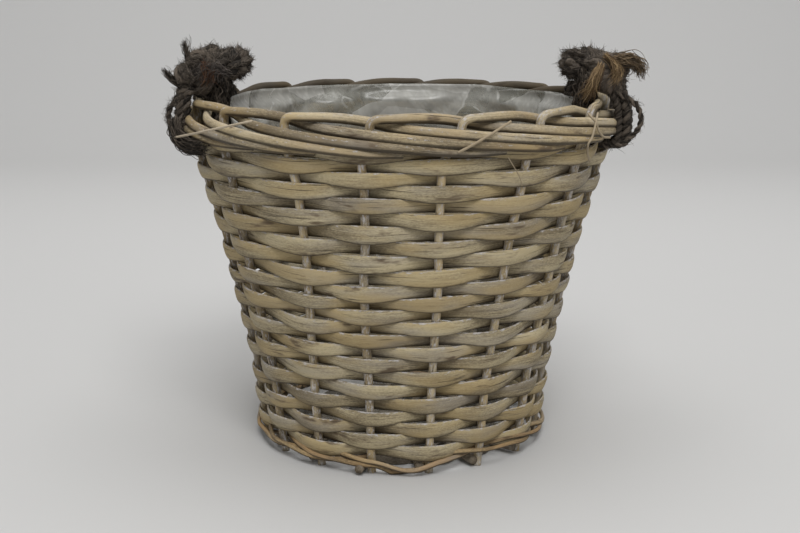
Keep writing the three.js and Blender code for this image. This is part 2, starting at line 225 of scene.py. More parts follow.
def outward(points, quads, tris):
    """The faces, turned round if the volume they hold comes out negative."""
    split = np.concatenate([quads[:, [0, 1, 2]], quads[:, [0, 2, 3]], tris])
    a, b, c = (points[split[:, k]] for k in range(3))
    volume = (a * np.cross(b, c)).sum()
    return (quads, tris) if volume > 0 else (quads[:, ::-1], tris[:, ::-1])


print("faces of one four-sided skin with three rings:", [len(f) for f in skin_faces(1, 3, 4)])

# %% [markdown]
# ## Making the object
# A mesh is filled with whole arrays. The points go in as metres, and three attributes go with them for the
# materials: `grain` is the place in the straight rod, `tone` makes one piece or stretch lighter or darker, at
# random and as painted shade where a strip goes behind a stake and on the border's back half, and `edge` says
# where lime and a painted highlight go (above zero, on corners) and where a painted shade goes (below zero,
# in hollows).

# %% Put points, faces and attributes into an object
def make_object(name, points, quads, tris, material, attributes=None):
    """An object at the origin whose mesh has these points in millimetres."""
    mesh = bpy.data.meshes.new(name)
    loops = np.concatenate([quads.ravel(), tris.ravel()]).astype(np.int32)
    sizes = np.concatenate([np.full(len(quads), 4), np.full(len(tris), 3)]).astype(np.int32)
    mesh.vertices.add(len(points))
    mesh.vertices.foreach_set("co", (points * MM).astype(np.float32).ravel())
    mesh.loops.add(len(loops))
    mesh.loops.foreach_set("vertex_index", loops)
    mesh.polygons.add(len(sizes))
    mesh.polygons.foreach_set("loop_start", np.concatenate([[0], np.cumsum(sizes)[:-1]]).astype(np.int32))
    mesh.update(calc_edges=True)
    mesh.polygons.foreach_set("use_smooth", np.ones(len(sizes), dtype=bool))
    for key, values in (attributes or {}).items():
        kind, field = ("FLOAT_VECTOR", "vector") if np.ndim(values) == 2 else ("FLOAT", "value")
        layer = mesh.attributes.new(key, kind, "POINT")
        layer.data.foreach_set(field, np.asarray(values, dtype=np.float32).ravel())
    mesh.materials.append(material)
    piece = bpy.data.objects.new(name, mesh)
    bpy.context.scene.collection.objects.link(piece)
    return piece


def make_skins(name, rings, grain, tone, material, edge=None):
    """One object from rings shaped (skins, rings, corners, 3); grain is alike, tone is per ring."""
    skins, count, corners = rings.shape[:3]

    def with_ends(values):
        ends = np.stack([values[:, 0].mean(1), values[:, -1].mean(1)], axis=1)
        flat = values.reshape(skins, count * corners, -1)
        return np.concatenate([flat, ends.reshape(skins, 2, -1)], axis=1).reshape(-1, flat.shape[-1])

    points = with_ends(rings)
    quads, tris = outward(points, *skin_faces(skins, count, corners))
    shades = np.broadcast_to(tone[..., None, None], (skins, count, corners, 1))
    edges = np.zeros((skins, count, corners, 1)) if edge is None else edge
    attributes = {
        "grain": with_ends(grain) * MM,
        "tone": with_ends(shades)[:, 0],
        "edge": with_ends(np.broadcast_to(edges, (skins, count, corners, 1)))[:, 0],
    }
    return make_object(name, points, quads, tris, material, attributes)


def show_as(piece, body, slot, *nodes):
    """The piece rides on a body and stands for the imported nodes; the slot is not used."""
    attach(piece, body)
    if nodes:
        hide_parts(*nodes)


# %% [markdown]
# ## Nodes for the materials
# The materials are trees of nodes. One helper adds a node, sets its values and links its inputs;
# two more write sums and colour mixes. The groups below put out only colours, roughness and
# heights, and each material keeps its own shader.

# %% Helpers for node trees
def wire(tree, kind, inputs=None, **settings):
    """A new node with settings; each input is linked if given a socket, and set otherwise."""
    made = tree.nodes.new(kind)
    for key, value in settings.items():
        setattr(made, key, value)
    for key, value in (inputs or {}).items():
        if isinstance(value, bpy.types.NodeSocket):
            tree.links.new(value, made.inputs[key])
        else:
            made.inputs[key].default_value = value
    return made


def sums(tree, operation, a, b=0.0, c=0.0):
    """The result of a math node."""
    return wire(tree, "ShaderNodeMath", {0: a, 1: b, 2: c}, operation=operation).outputs[0]


def vector_sums(tree, operation, a, b):
    """The result of a vector math node."""
    return wire(tree, "ShaderNodeVectorMath", {0: a, 1: b}, operation=operation).outputs[0]


def mixed(tree, amount, a, b):
    """Colour a changed towards colour b by amount."""
    return wire(tree, "ShaderNodeMix", {0: amount, 6: a, 7: b}, data_type="RGBA").outputs[2]


def between(tree, value, low, high):
    """Smoothly 0 below low and 1 above high."""
    made = wire(tree, "ShaderNodeMapRange", {0: value, 1: low, 2: high}, interpolation_type="SMOOTHSTEP")
    return made.outputs[0]


def stretched_noise(tree, place, scale, detail=3.0, roughness=0.55):
    """Noise whose size differs along and across the grain: scale is per metre on each axis."""
    spread = vector_sums(tree, "MULTIPLY", place, scale)
    settings = {"Vector": spread, "Scale": 1.0, "Detail": detail, "Roughness": roughness}
    return wire(tree, "ShaderNodeTexNoise", settings).outputs["Fac"]


def new_group(name, inputs, outputs):
    """An empty node group with named sockets, its input node and its output node."""
    group = bpy.data.node_groups.new(name, "ShaderNodeTree")
    for socket_name, kind in inputs:
        group.interface.new_socket(socket_name, in_out="INPUT", socket_type=kind)
    for socket_name, kind in outputs:
        group.interface.new_socket(socket_name, in_out="OUTPUT", socket_type=kind)
    return group, group.nodes.new("NodeGroupInput"), group.nodes.new("NodeGroupOutput")


# %% [markdown]
# ## Willow
# Split and peeled willow shows long fine fibres, slow changes from grey to tan, short dark checks along the
# grain, brown stains round knots, and the chalky lime of the grey wash, which stays on upper corners, where
# the same pale colour is also a painted highlight. Under the lower corners and in hollows a dark painted
# shade goes in, with a little random grime. One group makes all of that from the place in the grain, and the
# strips, stakes, wale and base only differ in its colours and amounts.

# %% The willow group
FLOAT, COLOR, VECTOR = "NodeSocketFloat", "NodeSocketColor", "NodeSocketVector"
GREY_WASH = (0.335, 0.305, 0.265, 1.0)
DARK_CHECK = (0.045, 0.034, 0.022, 1.0)
# pale lime colour; on upper corners it is also a painted highlight
LIME_AND_HIGHLIGHT = (0.56, 0.545, 0.55, 1.0)
# dark colour of the painted shade under lower corners and in hollows, and of a little random grime
DARK_GRIME_AND_SHADE = (0.040, 0.030, 0.019, 1.0)

willow, into, out_of = new_group(
    "willow_grain",
    [("Grain", VECTOR), ("Tone", FLOAT), ("Edge", FLOAT), ("Light", COLOR), ("Dark", COLOR),
     ("Stain", COLOR), ("Warm", COLOR), ("Warmth", FLOAT), ("Stains", FLOAT), ("Lime", FLOAT)],
    [("Color", COLOR), ("Roughness", FLOAT), ("Height", FLOAT)],
)
place = into.outputs["Grain"]
fibre = stretched_noise(willow, place, (45.0, 1500.0, 1500.0), 4.0, 0.6)
hair = stretched_noise(willow, place, (160.0, 5200.0, 5200.0), 2.0)
patch = stretched_noise(willow, place, (16.0, 90.0, 90.0), 3.0)
speck = stretched_noise(willow, place, (520.0, 1300.0, 1300.0), 3.0, 0.7)
shade = sums(willow, "MULTIPLY_ADD", fibre, 0.85, sums(willow, "MULTIPLY_ADD", hair, 0.35, -0.1))
shade = sums(willow, "ADD", shade, sums(willow, "MULTIPLY_ADD", patch, 1.2, -0.60))
shade = sums(willow, "MULTIPLY_ADD", into.outputs["Tone"], 0.16, shade)
shade = sums(willow, "MULTIPLY_ADD", speck, 0.9, sums(willow, "ADD", shade, -0.45))
color = mixed(willow, between(willow, shade, 0.14, 0.84), into.outputs["Dark"], into.outputs["Light"])
wash_field = stretched_noise(willow, place, (11.0, 70.0, 70.0), 3.0, 0.6)
wash_mask = sums(willow, "MULTIPLY", between(willow, wash_field, 0.44, 0.64), 0.45)
color = mixed(willow, wash_mask, color, GREY_WASH)
warm_field = stretched_noise(willow, place, (13.0, 40.0, 40.0), 3.0)
warm_mask = sums(willow, "MULTIPLY", between(willow, warm_field, 0.44, 0.62), into.outputs["Warmth"])
color = mixed(willow, warm_mask, color, into.outputs["Warm"])
knot_field = stretched_noise(willow, place, (34.0, 130.0, 130.0), 3.0, 0.65)
knot_mask = sums(willow, "MULTIPLY", between(willow, knot_field, 0.57, 0.72), into.outputs["Stains"])
color = mixed(willow, knot_mask, color, into.outputs["Stain"])
check_field = stretched_noise(willow, place, (30.0, 1050.0, 1050.0), 2.0)
check_mask = between(willow, check_field, 0.36, 0.27)
color = mixed(willow, sums(willow, "MULTIPLY", check_mask, 0.70), color, DARK_CHECK)
lime_field = stretched_noise(willow, place, (230.0, 620.0, 620.0), 5.0, 0.7)
# lime and painted highlight: Edge above zero, on upper corners, brings more of the pale colour
lime_and_highlight_edge = sums(willow, "MAXIMUM", into.outputs["Edge"], 0.0)
lime_and_highlight_reach = sums(willow, "MULTIPLY_ADD", lime_and_highlight_edge, 0.24, into.outputs["Lime"])
lime_and_highlight_mask = between(willow, sums(willow, "ADD", lime_field, lime_and_highlight_reach), 0.77, 0.90)
color = mixed(willow, sums(willow, "MULTIPLY", lime_and_highlight_mask, 0.70), color, LIME_AND_HIGHLIGHT)
# painted shade: Edge below zero, under lower corners and in hollows, darkens the colour
grime_and_shade_edge = sums(willow, "MULTIPLY_ADD", into.outputs["Edge"], -1.0, 0.25)
grime_and_shade = sums(willow, "MULTIPLY_ADD", lime_field, -0.5, grime_and_shade_edge)
grime_and_shade_mask = sums(willow, "MULTIPLY", between(willow, grime_and_shade, 0.05, 0.85), 0.85)
color = mixed(willow, grime_and_shade_mask, color, DARK_GRIME_AND_SHADE)
rough = sums(willow, "MULTIPLY_ADD", fibre, 0.18, 0.62)
height = sums(willow, "MULTIPLY_ADD", hair, 0.25, sums(willow, "MULTIPLY", speck, 0.3))
height = sums(willow, "MULTIPLY_ADD", fibre, 0.7, height)
height = sums(willow, "MULTIPLY_ADD", check_mask, -0.9, height)
height = sums(willow, "MULTIPLY_ADD", lime_and_highlight_mask, 0.35, height)
for socket_name, value in (("Color", color), ("Roughness", rough), ("Height", height)):
    willow.links.new(value, out_of.inputs[socket_name])
print("willow group has", len(willow.nodes), "nodes")

# %% [markdown]
# Each willow material reads the three attributes, runs them through the group and gives the
# result to its own shader. Willow has no coat and only a faint gloss.

# %% The willow materials
def new_material(name):
    """A material with its own Principled shader, and its tree and shader."""
    material = bpy.data.materials.new(name)
    material.use_nodes = True
    tree = material.node_tree
    return material, tree, tree.nodes["Principled BSDF"]


def attribute(tree, name, output):
    """The socket that reads an attribute of the mesh."""
    return wire(tree, "ShaderNodeAttribute", attribute_name=name).outputs[output]


def willow_material(name, light, dark, stain, warm, warmth, stains, lime, relief):
    """A willow finish: colours as linear red, green and blue; relief is in metres."""
    material, tree, shader = new_material(name)
    values = {
        "Grain": attribute(tree, "grain", "Vector"), "Tone": attribute(tree, "tone", "Fac"),
        "Edge": attribute(tree, "edge", "Fac"), "Light": (*light, 1.0), "Dark": (*dark, 1.0),
        "Stain": (*stain, 1.0), "Warm": (*warm, 1.0), "Warmth": warmth, "Stains": stains, "Lime": lime,
    }
    group = wire(tree, "ShaderNodeGroup", node_tree=willow)
    for key, value in values.items():
        if isinstance(value, bpy.types.NodeSocket):
            tree.links.new(value, group.inputs[key])
        else:
            group.inputs[key].default_value = value
    bump = wire(tree, "ShaderNodeBump", {"Height": group.outputs["Height"], "Distance": relief})
    tree.links.new(group.outputs["Color"], shader.inputs["Base Color"])
    tree.links.new(group.outputs["Roughness"], shader.inputs["Roughness"])
    tree.links.new(bump.outputs["Normal"], shader.inputs["Normal"])
    shader.inputs["Specular IOR Level"].default_value = 0.3
    return material


strip_willow = willow_material(
    "strip_willow", (0.520, 0.440, 0.278), (0.190, 0.150, 0.090), (0.105, 0.072, 0.044),
    (0.430, 0.320, 0.150), 0.60, 0.9, 0.10, 0.0005)
stake_willow = willow_material(
    "stake_willow", (0.500, 0.412, 0.262), (0.165, 0.128, 0.078), (0.105, 0.072, 0.044),
    (0.430, 0.315, 0.155), 0.60, 0.9, 0.11, 0.0004)
wale_willow = willow_material(
    "wale_willow", (0.440, 0.322, 0.168), (0.130, 0.090, 0.048), (0.080, 0.052, 0.030),
    (0.380, 0.235, 0.105), 0.6, 0.8, 0.06, 0.0004)
# painted shade: the base's colours are dark because it lies in shade under the basket
shaded_base_willow = willow_material(
    "shaded_base_willow", (0.240, 0.205, 0.155), (0.060, 0.048, 0.034), (0.040, 0.030, 0.021),
    (0.170, 0.115, 0.058), 0.3, 0.8, 0.05, 0.0004)
print("willow materials made")

# %% [markdown]
# ## Side weave
# Each row is one flat split strip. It passes in front of every second stake and behind the
# others, so its way out and in is a cosine. Where it is in front it can spread, and where it
# slips behind a stake it reaches a little down behind the row below: that makes the long lens
# shapes. The rows were not beaten down evenly, so each has slipped by its own amount and is wider
# or narrower to suit. `SLIP` gives how far rows have slipped at some heights up the wall, and the
# lowest rows overlap more. The section is a rounded rectangle, a little arched, as split willow is.

# %% Weave the rows
STRIP_THICKNESS = 1.7
STRIP_HALF_WIDTH = 4.0
STRIP_SPREAD = 1.85
STRIP_TUCK = 1.8
STRIP_ARCH = 0.7
STRIP_SWING = 3.6
STRIP_INSET = 0.3
STRIP_ROUNDNESS = 3.4
STRIP_CORNERS = 16
STRIP_STEPS = 26
GAP_LENGTH = 45.0
ROW_START_STEP = 5
SLIP_AT = [10, 32, 54, 76, 98, 120, 142, 164, 186, 208, 236]
SLIP = [-2.0, -2.7, -4.4, -1.8, -2.0, -1.9, -4.2, -0.6, 1.2, 1.6, -0.6]
ROW_LEVELS = WEAVE_BOTTOM + (np.arange(ROW_COUNT) + 0.5) * ROW_PITCH
ROW_LEVELS = ROW_LEVELS + np.interp(ROW_LEVELS, SLIP_AT, SLIP)
ROW_SHARE = np.clip(np.gradient(ROW_LEVELS) / ROW_PITCH, 0.85, 1.3)
LOW_ROW_EXTRA = 0.15
ROW_SHARE = ROW_SHARE * (1 + LOW_ROW_EXTRA * np.clip((70.0 - ROW_LEVELS) / 50.0, 0.0, 1.0))


def rounded_section(corners, power):
    """Rounded rectangle one wide and one thick: a circle whose cosine and sine are raised."""
    turn = TAU * (np.arange(corners) + 0.5) / corners
    c, s = np.cos(turn), np.sin(turn)
    return np.sign(c) * np.abs(c) ** (2 / power), np.sign(s) * np.abs(s) ** (2 / power)


def row_wave(angle, height):
    """Slow rise and fall that neighbouring rows share, in millimetres: two sines that drift upwards."""
    return 0.55 * np.sin(angle * 3 + height * 0.045) + 0.45 * np.sin(angle * 5 - height * 0.06 + 1.3)


def weaver_row(row):
    """One row: its way out is a cosine of the gaps travelled, and it is wider where it is in front."""
    rng = seeded(10, row)
    travelled = np.linspace(0.02, STAKE_COUNT - 0.02, STAKE_COUNT * STRIP_STEPS + 1)
    middle = ROW_LEVELS[row]
    place = (ROW_START_STEP * (row + 1)) % STAKE_COUNT + travelled
    angle = stake_angle(place) + drift(place, middle)
    half_width = STRIP_HALF_WIDTH * ROW_SHARE[row]
    swing = -np.cos(np.pi * travelled)
    front = np.clip((swing + 0.4) / 1.4, 0.0, 1.0) ** 1.2
    behind = np.clip((-swing - 0.1) / 0.9, 0.0, 1.0) ** 0.8
    lens = np.floor(travelled / 2).astype(int)
    lens_spread = rng.uniform(0.65, 1.2, lens.max() + 1)[lens]
    top_row = row == ROW_COUNT - 1
    up_spread = STRIP_SPREAD * lens_spread * front + (1.4 if top_row else 1.0) * behind
    down_spread = STRIP_SPREAD * rng.uniform(0.8, 1.25, lens.max() + 1)[lens] * front
    down_spread = down_spread + (0.4 if row == 0 else STRIP_TUCK) * behind
    far = travelled * GAP_LENGTH
    upper = half_width + up_spread + 0.14 * wander(far, 9.0, rng) + 0.05 * wander(far, 1.7, rng)
    lower = half_width + down_spread + 0.14 * wander(far, 9.0, rng) + 0.05 * wander(far, 1.7, rng)
    tilt = np.radians(5.0) * wander(far, 60.0, rng) + np.radians(2.0)
    across, thick = rounded_section(STRIP_CORNERS, STRIP_ROUNDNESS)
    across, thick = across[None, :], thick[None, :]
    reach = np.where(across > 0, upper[:, None], lower[:, None]) * across
    face = thick * STRIP_THICKNESS / 2 + STRIP_ARCH * (1 - across ** 2) * (thick > 0)
    lift = rng.uniform(-0.8, 0.8, lens.max() + 1)[lens] * front
    freedom = 0.35 if row in (0, ROW_COUNT - 1) else 1.0
    rise = (row_wave(angle, middle) + lift)[:, None] * freedom
    up = middle + rise + reach * np.cos(tilt)[:, None] - face * np.sin(tilt)[:, None]
    out = flare(middle) + STRIP_SWING * swing[:, None] + reach * np.sin(tilt)[:, None]
    out = out + face * np.cos(tilt)[:, None] - STRIP_INSET
    rings = wall_point(angle[:, None], up, out)
    start = rng.uniform(0.0, 5000.0)
    run = np.broadcast_to(far[:, None] + start, reach.shape)
    grain = np.stack([run, reach, np.broadcast_to(face + 40.0 * row, reach.shape)], axis=-1)
    tone = 0.8 * wander(far, 95.0, rng) + 0.6 * wander(far, 30.0, rng) + 0.4 * rng.uniform(-1, 1)
    # painted shade: the strip is darker where it goes behind a stake
    tone = tone - 0.7 * np.clip(-swing, 0.0, 1.0) ** 1.5
    # painted shade in the edge attribute: a dark line along the lower edge and more shade where the strip is
    # hidden; the upper edge gets lime and a painted highlight
    hidden = np.clip(-swing[:, None] - 0.45, 0.0, 1.0)
    edge = np.abs(across) ** 4 * np.where(across > 0, 1.0, -1.0) - 0.5 * hidden
    return rings, grain, tone, edge


for row in range(ROW_COUNT):
    rings, grain, tone, edge = weaver_row(row)
    piece = make_skins(f"woven_strip_{row + 1:02d}", rings[None], grain[None], tone[None], strip_willow,
                       edge[None, ..., None])
    show_as(piece, "basket", "strip_willow", f"weaver_row_{row + 1:02d}")
print(ROW_COUNT, "rows woven, each with", len(piece.data.vertices), "points")

# %% [markdown]
# ## Stakes and the rolled border
# A stake is one rod. It leans with the wall, bends sharply to the right at the top, crosses over
# the rod before it, passes behind the next stake and slants down across the outside. Its way is
# written as places on the unrolled wall, joined by a smooth curve, cut into even steps and eased,
# and only then wrapped round the basket.

# %% Helpers for a rod's path
def spline(points, samples):
    """Smooth line through points: each stretch is a cubic that leaves along its neighbours' line."""
    points = np.asarray(points, dtype=float)
    padded = np.vstack([2 * points[0] - points[1], points, 2 * points[-1] - points[-2]])
    place = np.linspace(0, len(points) - 1, samples)
    cell = np.minimum(place.astype(int), len(points) - 2)
    part = (place - cell)[:, None]
    a, b, c, d = (padded[cell + k] for k in range(4))
    return b + 0.5 * part * (c - a + part * (2 * a - 5 * b + 4 * c - d + part * (3 * (b - c) + d - a)))


def even_steps(path, step):
    """The same line with points an even step apart."""
    far = length_along(path)
    samples = np.linspace(0.0, far[-1], int(far[-1] / step) + 2)
    return np.stack([np.interp(samples, far, path[:, k]) for k in range(3)], axis=-1)


def eased(path, reach):
    """Each point replaced by the mean of its neighbours, with the ends kept in line."""
    before = 2 * path[0] - path[reach:0:-1]
    after = 2 * path[-1] - path[-2:-reach - 2:-1]
    padded = np.vstack([before, path, after])
    window = np.ones(2 * reach + 1) / (2 * reach + 1)
    return np.stack([np.convolve(padded[:, k], window, mode="valid") for k in range(3)], axis=-1)


# %% [markdown]
# The way of a rod is a list of places: gaps travelled round, rod widths out from the border's
# middle, and rods up from its lowest one. The rod thins towards its tip.

# %% Path of a stake
STAKE_RADIUS = 2.9
ROD_RISE = 6.5
LOWEST_ROD = 221.9
TRAVEL_SHORTEST, TRAVEL_LONGEST = 4.3, 4.6
BEND_RADIUS = 4.2
BEND_TOP = 3.62
ROD_CORNERS = 16
ROD_STEP = 1.8
BORDER_WAY = np.array([
    [0.25, 0.20, 3.62],
    [0.50, -0.15, 3.65],
    [0.75, -0.68, 3.52],
    [1.00, -1.08, 3.20],
    [1.25, -0.62, 2.78],
    [1.50, 0.20, 2.52],
    [1.75, 0.90, 2.36],
    [2.00, 1.35, 2.15],
    [2.50, 1.58, 1.68],
    [3.00, 1.62, 1.25],
    [3.50, 1.62, 0.88],
    [4.00, 1.35, 0.50],
])
TAPER = ([0.0, 2.2, 3.0, 4.0, 4.6], [1.0, 1.0, 0.94, 0.80, 0.50])


def stake_path(index, rng):
    """A rod on the unrolled wall (round, radius, height), eased and wrapped round the basket."""
    up = np.linspace(4.0, WEAVE_TOP - 8.0, 60)
    lean_in = wander(up, 70.0, rng) * 0.5
    wall = np.stack([lean_in, FOOT_RADIUS + up * np.sin(LEAN) + flare(up), up * np.cos(LEAN)], axis=-1)
    foot = np.array([[wall[0, 0], wall[0, 1], 0.0]])
    turn = np.linspace(0.0, np.pi / 2, 9)
    bend_base = LOWEST_ROD + BEND_TOP * ROD_RISE - BEND_RADIUS
    bend = np.stack([
        BEND_RADIUS * (1 - np.cos(turn)),
        BORDER_RADIUS + 1.5 + 0.2 * ROD_PITCH * (1 - np.cos(turn)),
        bend_base + BEND_RADIUS * np.sin(turn),
    ], axis=-1)
    places = np.vstack([BORDER_WAY, [rng.uniform(TRAVEL_SHORTEST, TRAVEL_LONGEST), 0.45, 0.30]])
    way = np.stack([
        places[:, 0] * GAP * BORDER_RADIUS,
        BORDER_RADIUS + places[:, 1] * ROD_PITCH,
        LOWEST_ROD + places[:, 2] * ROD_RISE,
    ], axis=-1)
    border = spline(np.vstack([bend[-1], way]), 160)
    unrolled = eased(even_steps(np.vstack([foot, wall, bend, border[1:]]), ROD_STEP), 2)
    tail = np.clip((unrolled[:, 0] - 10.0) / 40.0, 0.0, 1.0)
    unrolled[:, 2] += tail * 0.35 * wander(unrolled[:, 0], 45.0, rng)
    moved = np.radians(np.interp(unrolled[:, 2] / np.cos(LEAN), DRIFT_AT, DRIFT[:, index]))
    moved = np.where(unrolled[:, 0] < BEND_RADIUS, moved, np.radians(BORDER_DRIFT))
    moved = np.convolve(np.pad(moved, 3, mode="edge"), np.ones(7) / 7, mode="valid")
    path = polar(unrolled[:, 1], stake_angle(index) + moved + unrolled[:, 0] / BORDER_RADIUS, unrolled[:, 2])
    return path, unrolled[:, 0] / BORDER_RADIUS / GAP


def round_rod(path, reference, radius, corners, rng, twist=0.0, flat=0.0):
    """Rings, grain and tone of a rod that swells and thins a little; flat makes it taller than deep."""
    far = length_along(path)
    turn = TAU * np.arange(corners) / corners
    swell = radius * (1 + 0.035 * wander(far, 28.0, rng) + 0.02 * wander(far, 6.0, rng))
    oval = 1 + 0.05 * np.cos(2 * turn)[None, :] * wander(far, 60.0, rng)[:, None]
    flat = np.broadcast_to(flat, far.shape)[:, None]
    section = np.stack([
        np.cos(turn) * swell[:, None] * oval * (1 + flat),
        np.sin(turn) * swell[:, None] * oval * (1 - 0.5 * flat),
    ], axis=-1)
    spin = turn[None, :] + twist * far[:, None]
    start = rng.uniform(0.0, 5000.0)
    grain = np.stack([
        np.broadcast_to(far[:, None] + start, spin.shape),
        swell[:, None] * np.cos(spin), swell[:, None] * np.sin(spin),
    ], axis=-1)
    tone = 0.5 * wander(far, 80.0, rng) + 0.5 * rng.uniform(-1.0, 1.0)
    return sweep(path, reference, section), grain, tone


def away_from_axis(path):
    """Level directions from the basket's axis to each point."""
    return unit(path * np.array([1.0, 1.0, 0.0]))


# %% [markdown]
# Lime has stayed on the upright stakes and on top of the lying rods, and a dark painted shade goes under the
# lying rods. The border's back half is made grey and dark as a painted shade. Both go into `edge`, and `tone`
# darkens the back.

# %% Bend the stakes into the border
BACK_SHADE_FROM, BACK_SHADE_TO = 20.0, 70.0
BEND_FROM, BEND_TO = 226.0, 234.0

for index in range(STAKE_COUNT):
    rng = seeded(20, index)
    path, travel = stake_path(index, rng)
    radius = STAKE_RADIUS * np.interp(travel, *TAPER)
    flat = np.interp(travel, [0.1, 1.0], [0.0, 0.16])
    rings, grain, tone = round_rod(path, away_from_axis(path), radius, ROD_CORNERS, rng, flat=flat)
    below = (path[:, None, 2] - rings[..., 2]) / radius[:, None]
    lying = np.clip(travel / 0.15, 0.0, 1.0)[:, None]
    # painted shade: edge goes below zero on the underside of the lying rods
    edge = 0.75 * (1 - lying) + lying * (0.40 - 1.5 * np.clip((below + 0.15) / 0.9, 0.0, 1.0))
    # painted shade on the border's back half, in edge and tone
    raised = np.clip((path[:, 2:3] - BEND_FROM) / (BEND_TO - BEND_FROM), 0.0, 1.0)
    far_back = np.clip((path[:, 1:2] - BACK_SHADE_FROM) / (BACK_SHADE_TO - BACK_SHADE_FROM), 0.0, 1.0)
    painted_back_shade = raised * far_back
    edge = edge - 1.5 * painted_back_shade
    tone = 1.6 * tone - 2.2 * painted_back_shade[:, 0]
    piece = make_skins(f"stake_rod_{index + 1:02d}", rings[None], grain[None], tone[None], stake_willow,
                       edge[None, ..., None])
    show_as(piece, "basket", "stake_willow", f"stake_{index + 1:02d}")
print("stakes of", round(float(length_along(path)[-1])), "mm each, bent over the border")

# %% [markdown]
# ## Wale
# Three thin split strands twist round the foot. Each passes behind one stake and in front of the
# next two, and moves down as it goes, so the three lie over each other like a loose cord. In
# front, two of them have come loose and sag to the floor, and to the right of it all three climb.

# %% Twist the wale
WALE_LEVEL = 11.4
WALE_PITCH = 2.6
WALE_SWING = 5.2
WALE_RADIUS = 1.45
WALE_OUT = 0.8
WALE_FLOOR = 2.1
WALE_CORNERS = 12
WALE_CLIMB, WALE_CLIMB_AT, WALE_CLIMB_REACH = 3.5, np.radians(48.0), 0.15
WALE_DIP, WALE_DIP_AT, WALE_DIP_REACH = 9.5, np.radians(2.5), np.radians(13.0)
WALE_DIP_SHARE = (0.0, 1.0, 1 / 2.2)
WALE_DIP_OUT = 0.3
WALE_WAY = np.array([[-1, 0], [0, 0.65], [1, 0.5], [1, 0], [1, -0.5], [0, -0.65]])


def away_by(angle, other):
    """Smallest turn from another angle, between minus and plus half a turn."""
    return (angle - other + np.pi) % TAU - np.pi


for strand in range(3):
    rng = seeded(30, strand)
    count = 2 * (STAKE_COUNT - STAKE_COUNT % 3)
    steps = np.arange(count + 1)
    way = WALE_WAY[steps % 6]
    spread = spline(np.column_stack([steps * GAP / 2, way]), count * 14)
    spread[:, 1] += 0.10 * wander(spread[:, 0], 0.15, rng)
    spread[:, 2] += 0.35 * wander(spread[:, 0], 0.35, rng)
    angle = stake_angle(strand) + spread[:, 0]
    from_dip = np.clip(np.abs(away_by(angle, WALE_DIP_AT)) / WALE_DIP_REACH, 0.0, 1.0)
    dip = WALE_DIP * WALE_DIP_SHARE[strand] * np.cos(from_dip * np.pi / 2) ** 2
    dip = dip - WALE_CLIMB * np.exp(-away_by(angle, WALE_CLIMB_AT) ** 2 / WALE_CLIMB_REACH)
    level = WALE_LEVEL + spread[:, 2] * WALE_PITCH - dip
    out = flare(WALE_LEVEL) + WALE_OUT + spread[:, 1] * WALE_SWING + WALE_DIP_OUT * np.maximum(dip, 0.0)
    path = wall_point(angle, level, out)
    path[:, 2] = np.maximum(path[:, 2], WALE_FLOOR)
    radius = WALE_RADIUS * (1.05 + 0.16 * wander(length_along(path), 25.0, rng))
    rings, grain, tone = round_rod(path, away_from_axis(path), radius, WALE_CORNERS, rng, 0.05, 0.12)
    below = (path[:, None, 2] - rings[..., 2]) / radius[:, None]
    # painted shade: edge goes below zero under each strand
    edge = 0.15 - 1.2 * np.clip((below + 0.15) / 0.9, 0.0, 1.0)
    piece = make_skins(f"wale_strip_{strand + 1:02d}", rings[None], grain[None], tone[None], wale_willow,
                       edge[None, ..., None])
    show_as(piece, "basket", "wale_willow", f"wale_strand_{strand + 1:02d}")
print("wale strands run", round(float(length_along(path)[-1])), "mm round the foot")

# %% [markdown]
# ## Base
# Eight sticks cross in the middle, four over four, and fan out into sixteen arms. Two flat strips are woven
# between the arms. They are grey, and their colours are made dark as a painted shade for their place under
# the basket.

# %% Cross the base sticks
STICK_RADIUS = 3.0
STICK_HEIGHT = 4.8
STICK_PITCH = 6.3
STICK_REACH = 101.0
LONG_STICK_REACH = 108.5
HUB_HALF = 12.9
HUB_RADIUS = 38.0
STICK_CORNERS = 14
ARM_SHIFT = np.arcsin((STAKE_RADIUS + STICK_RADIUS + FIT) / (FOOT_RADIUS + STICK_HEIGHT * np.tan(LEAN)))


def base_stick(crossing, index):
    """Path of a stick: straight over the middle, then out at its own arm's angle on both sides."""
    place = index - 1.5
    lift = STICK_PITCH if crossing else 0.0
    arm = np.array([
        polar(STICK_REACH, place * GAP, STICK_HEIGHT),
        polar(HUB_RADIUS, place * GAP, STICK_HEIGHT),
        [place * STICK_PITCH, -HUB_HALF, STICK_HEIGHT + lift],
    ])
    far_arm = (arm * [1, -1, 1])[::-1]
    if not crossing and index == 1:
        arm[0] = polar(LONG_STICK_REACH, place * GAP, STICK_HEIGHT)
    path = eased(even_steps(np.vstack([arm, far_arm]), 2.0), 3)
    turn = (np.pi / 2 if crossing else 0.0) - ARM_SHIFT
    c, s = np.cos(turn), np.sin(turn)
    return path @ np.array([[c, s, 0.0], [-s, c, 0.0], [0.0, 0.0, 1.0]])


for crossing, layer in ((False, "under"), (True, "over")):
    for index in range(4):
        rng = seeded(40, int(crossing), index)
        path = base_stick(crossing, index)
        radius = np.full(len(path), STICK_RADIUS)
        rings, grain, tone = round_rod(path, np.array([0.0, 0.0, 1.0]), radius, STICK_CORNERS, rng)
        piece = make_skins(f"cross_stick_{layer}_{index + 1:02d}", rings[None], grain[None], tone[None],
                           shaded_base_willow)
        show_as(piece, "basket", "base_stick_willow", f"base_stick_{layer}_{index + 1:02d}")
print("base sticks laid")

# %% [markdown]
# Each strip winds outwards between the arms. Its last round is loose: it tilts, sinks to the floor
# and bulges out between the stakes, where its edge can be seen under the wale.

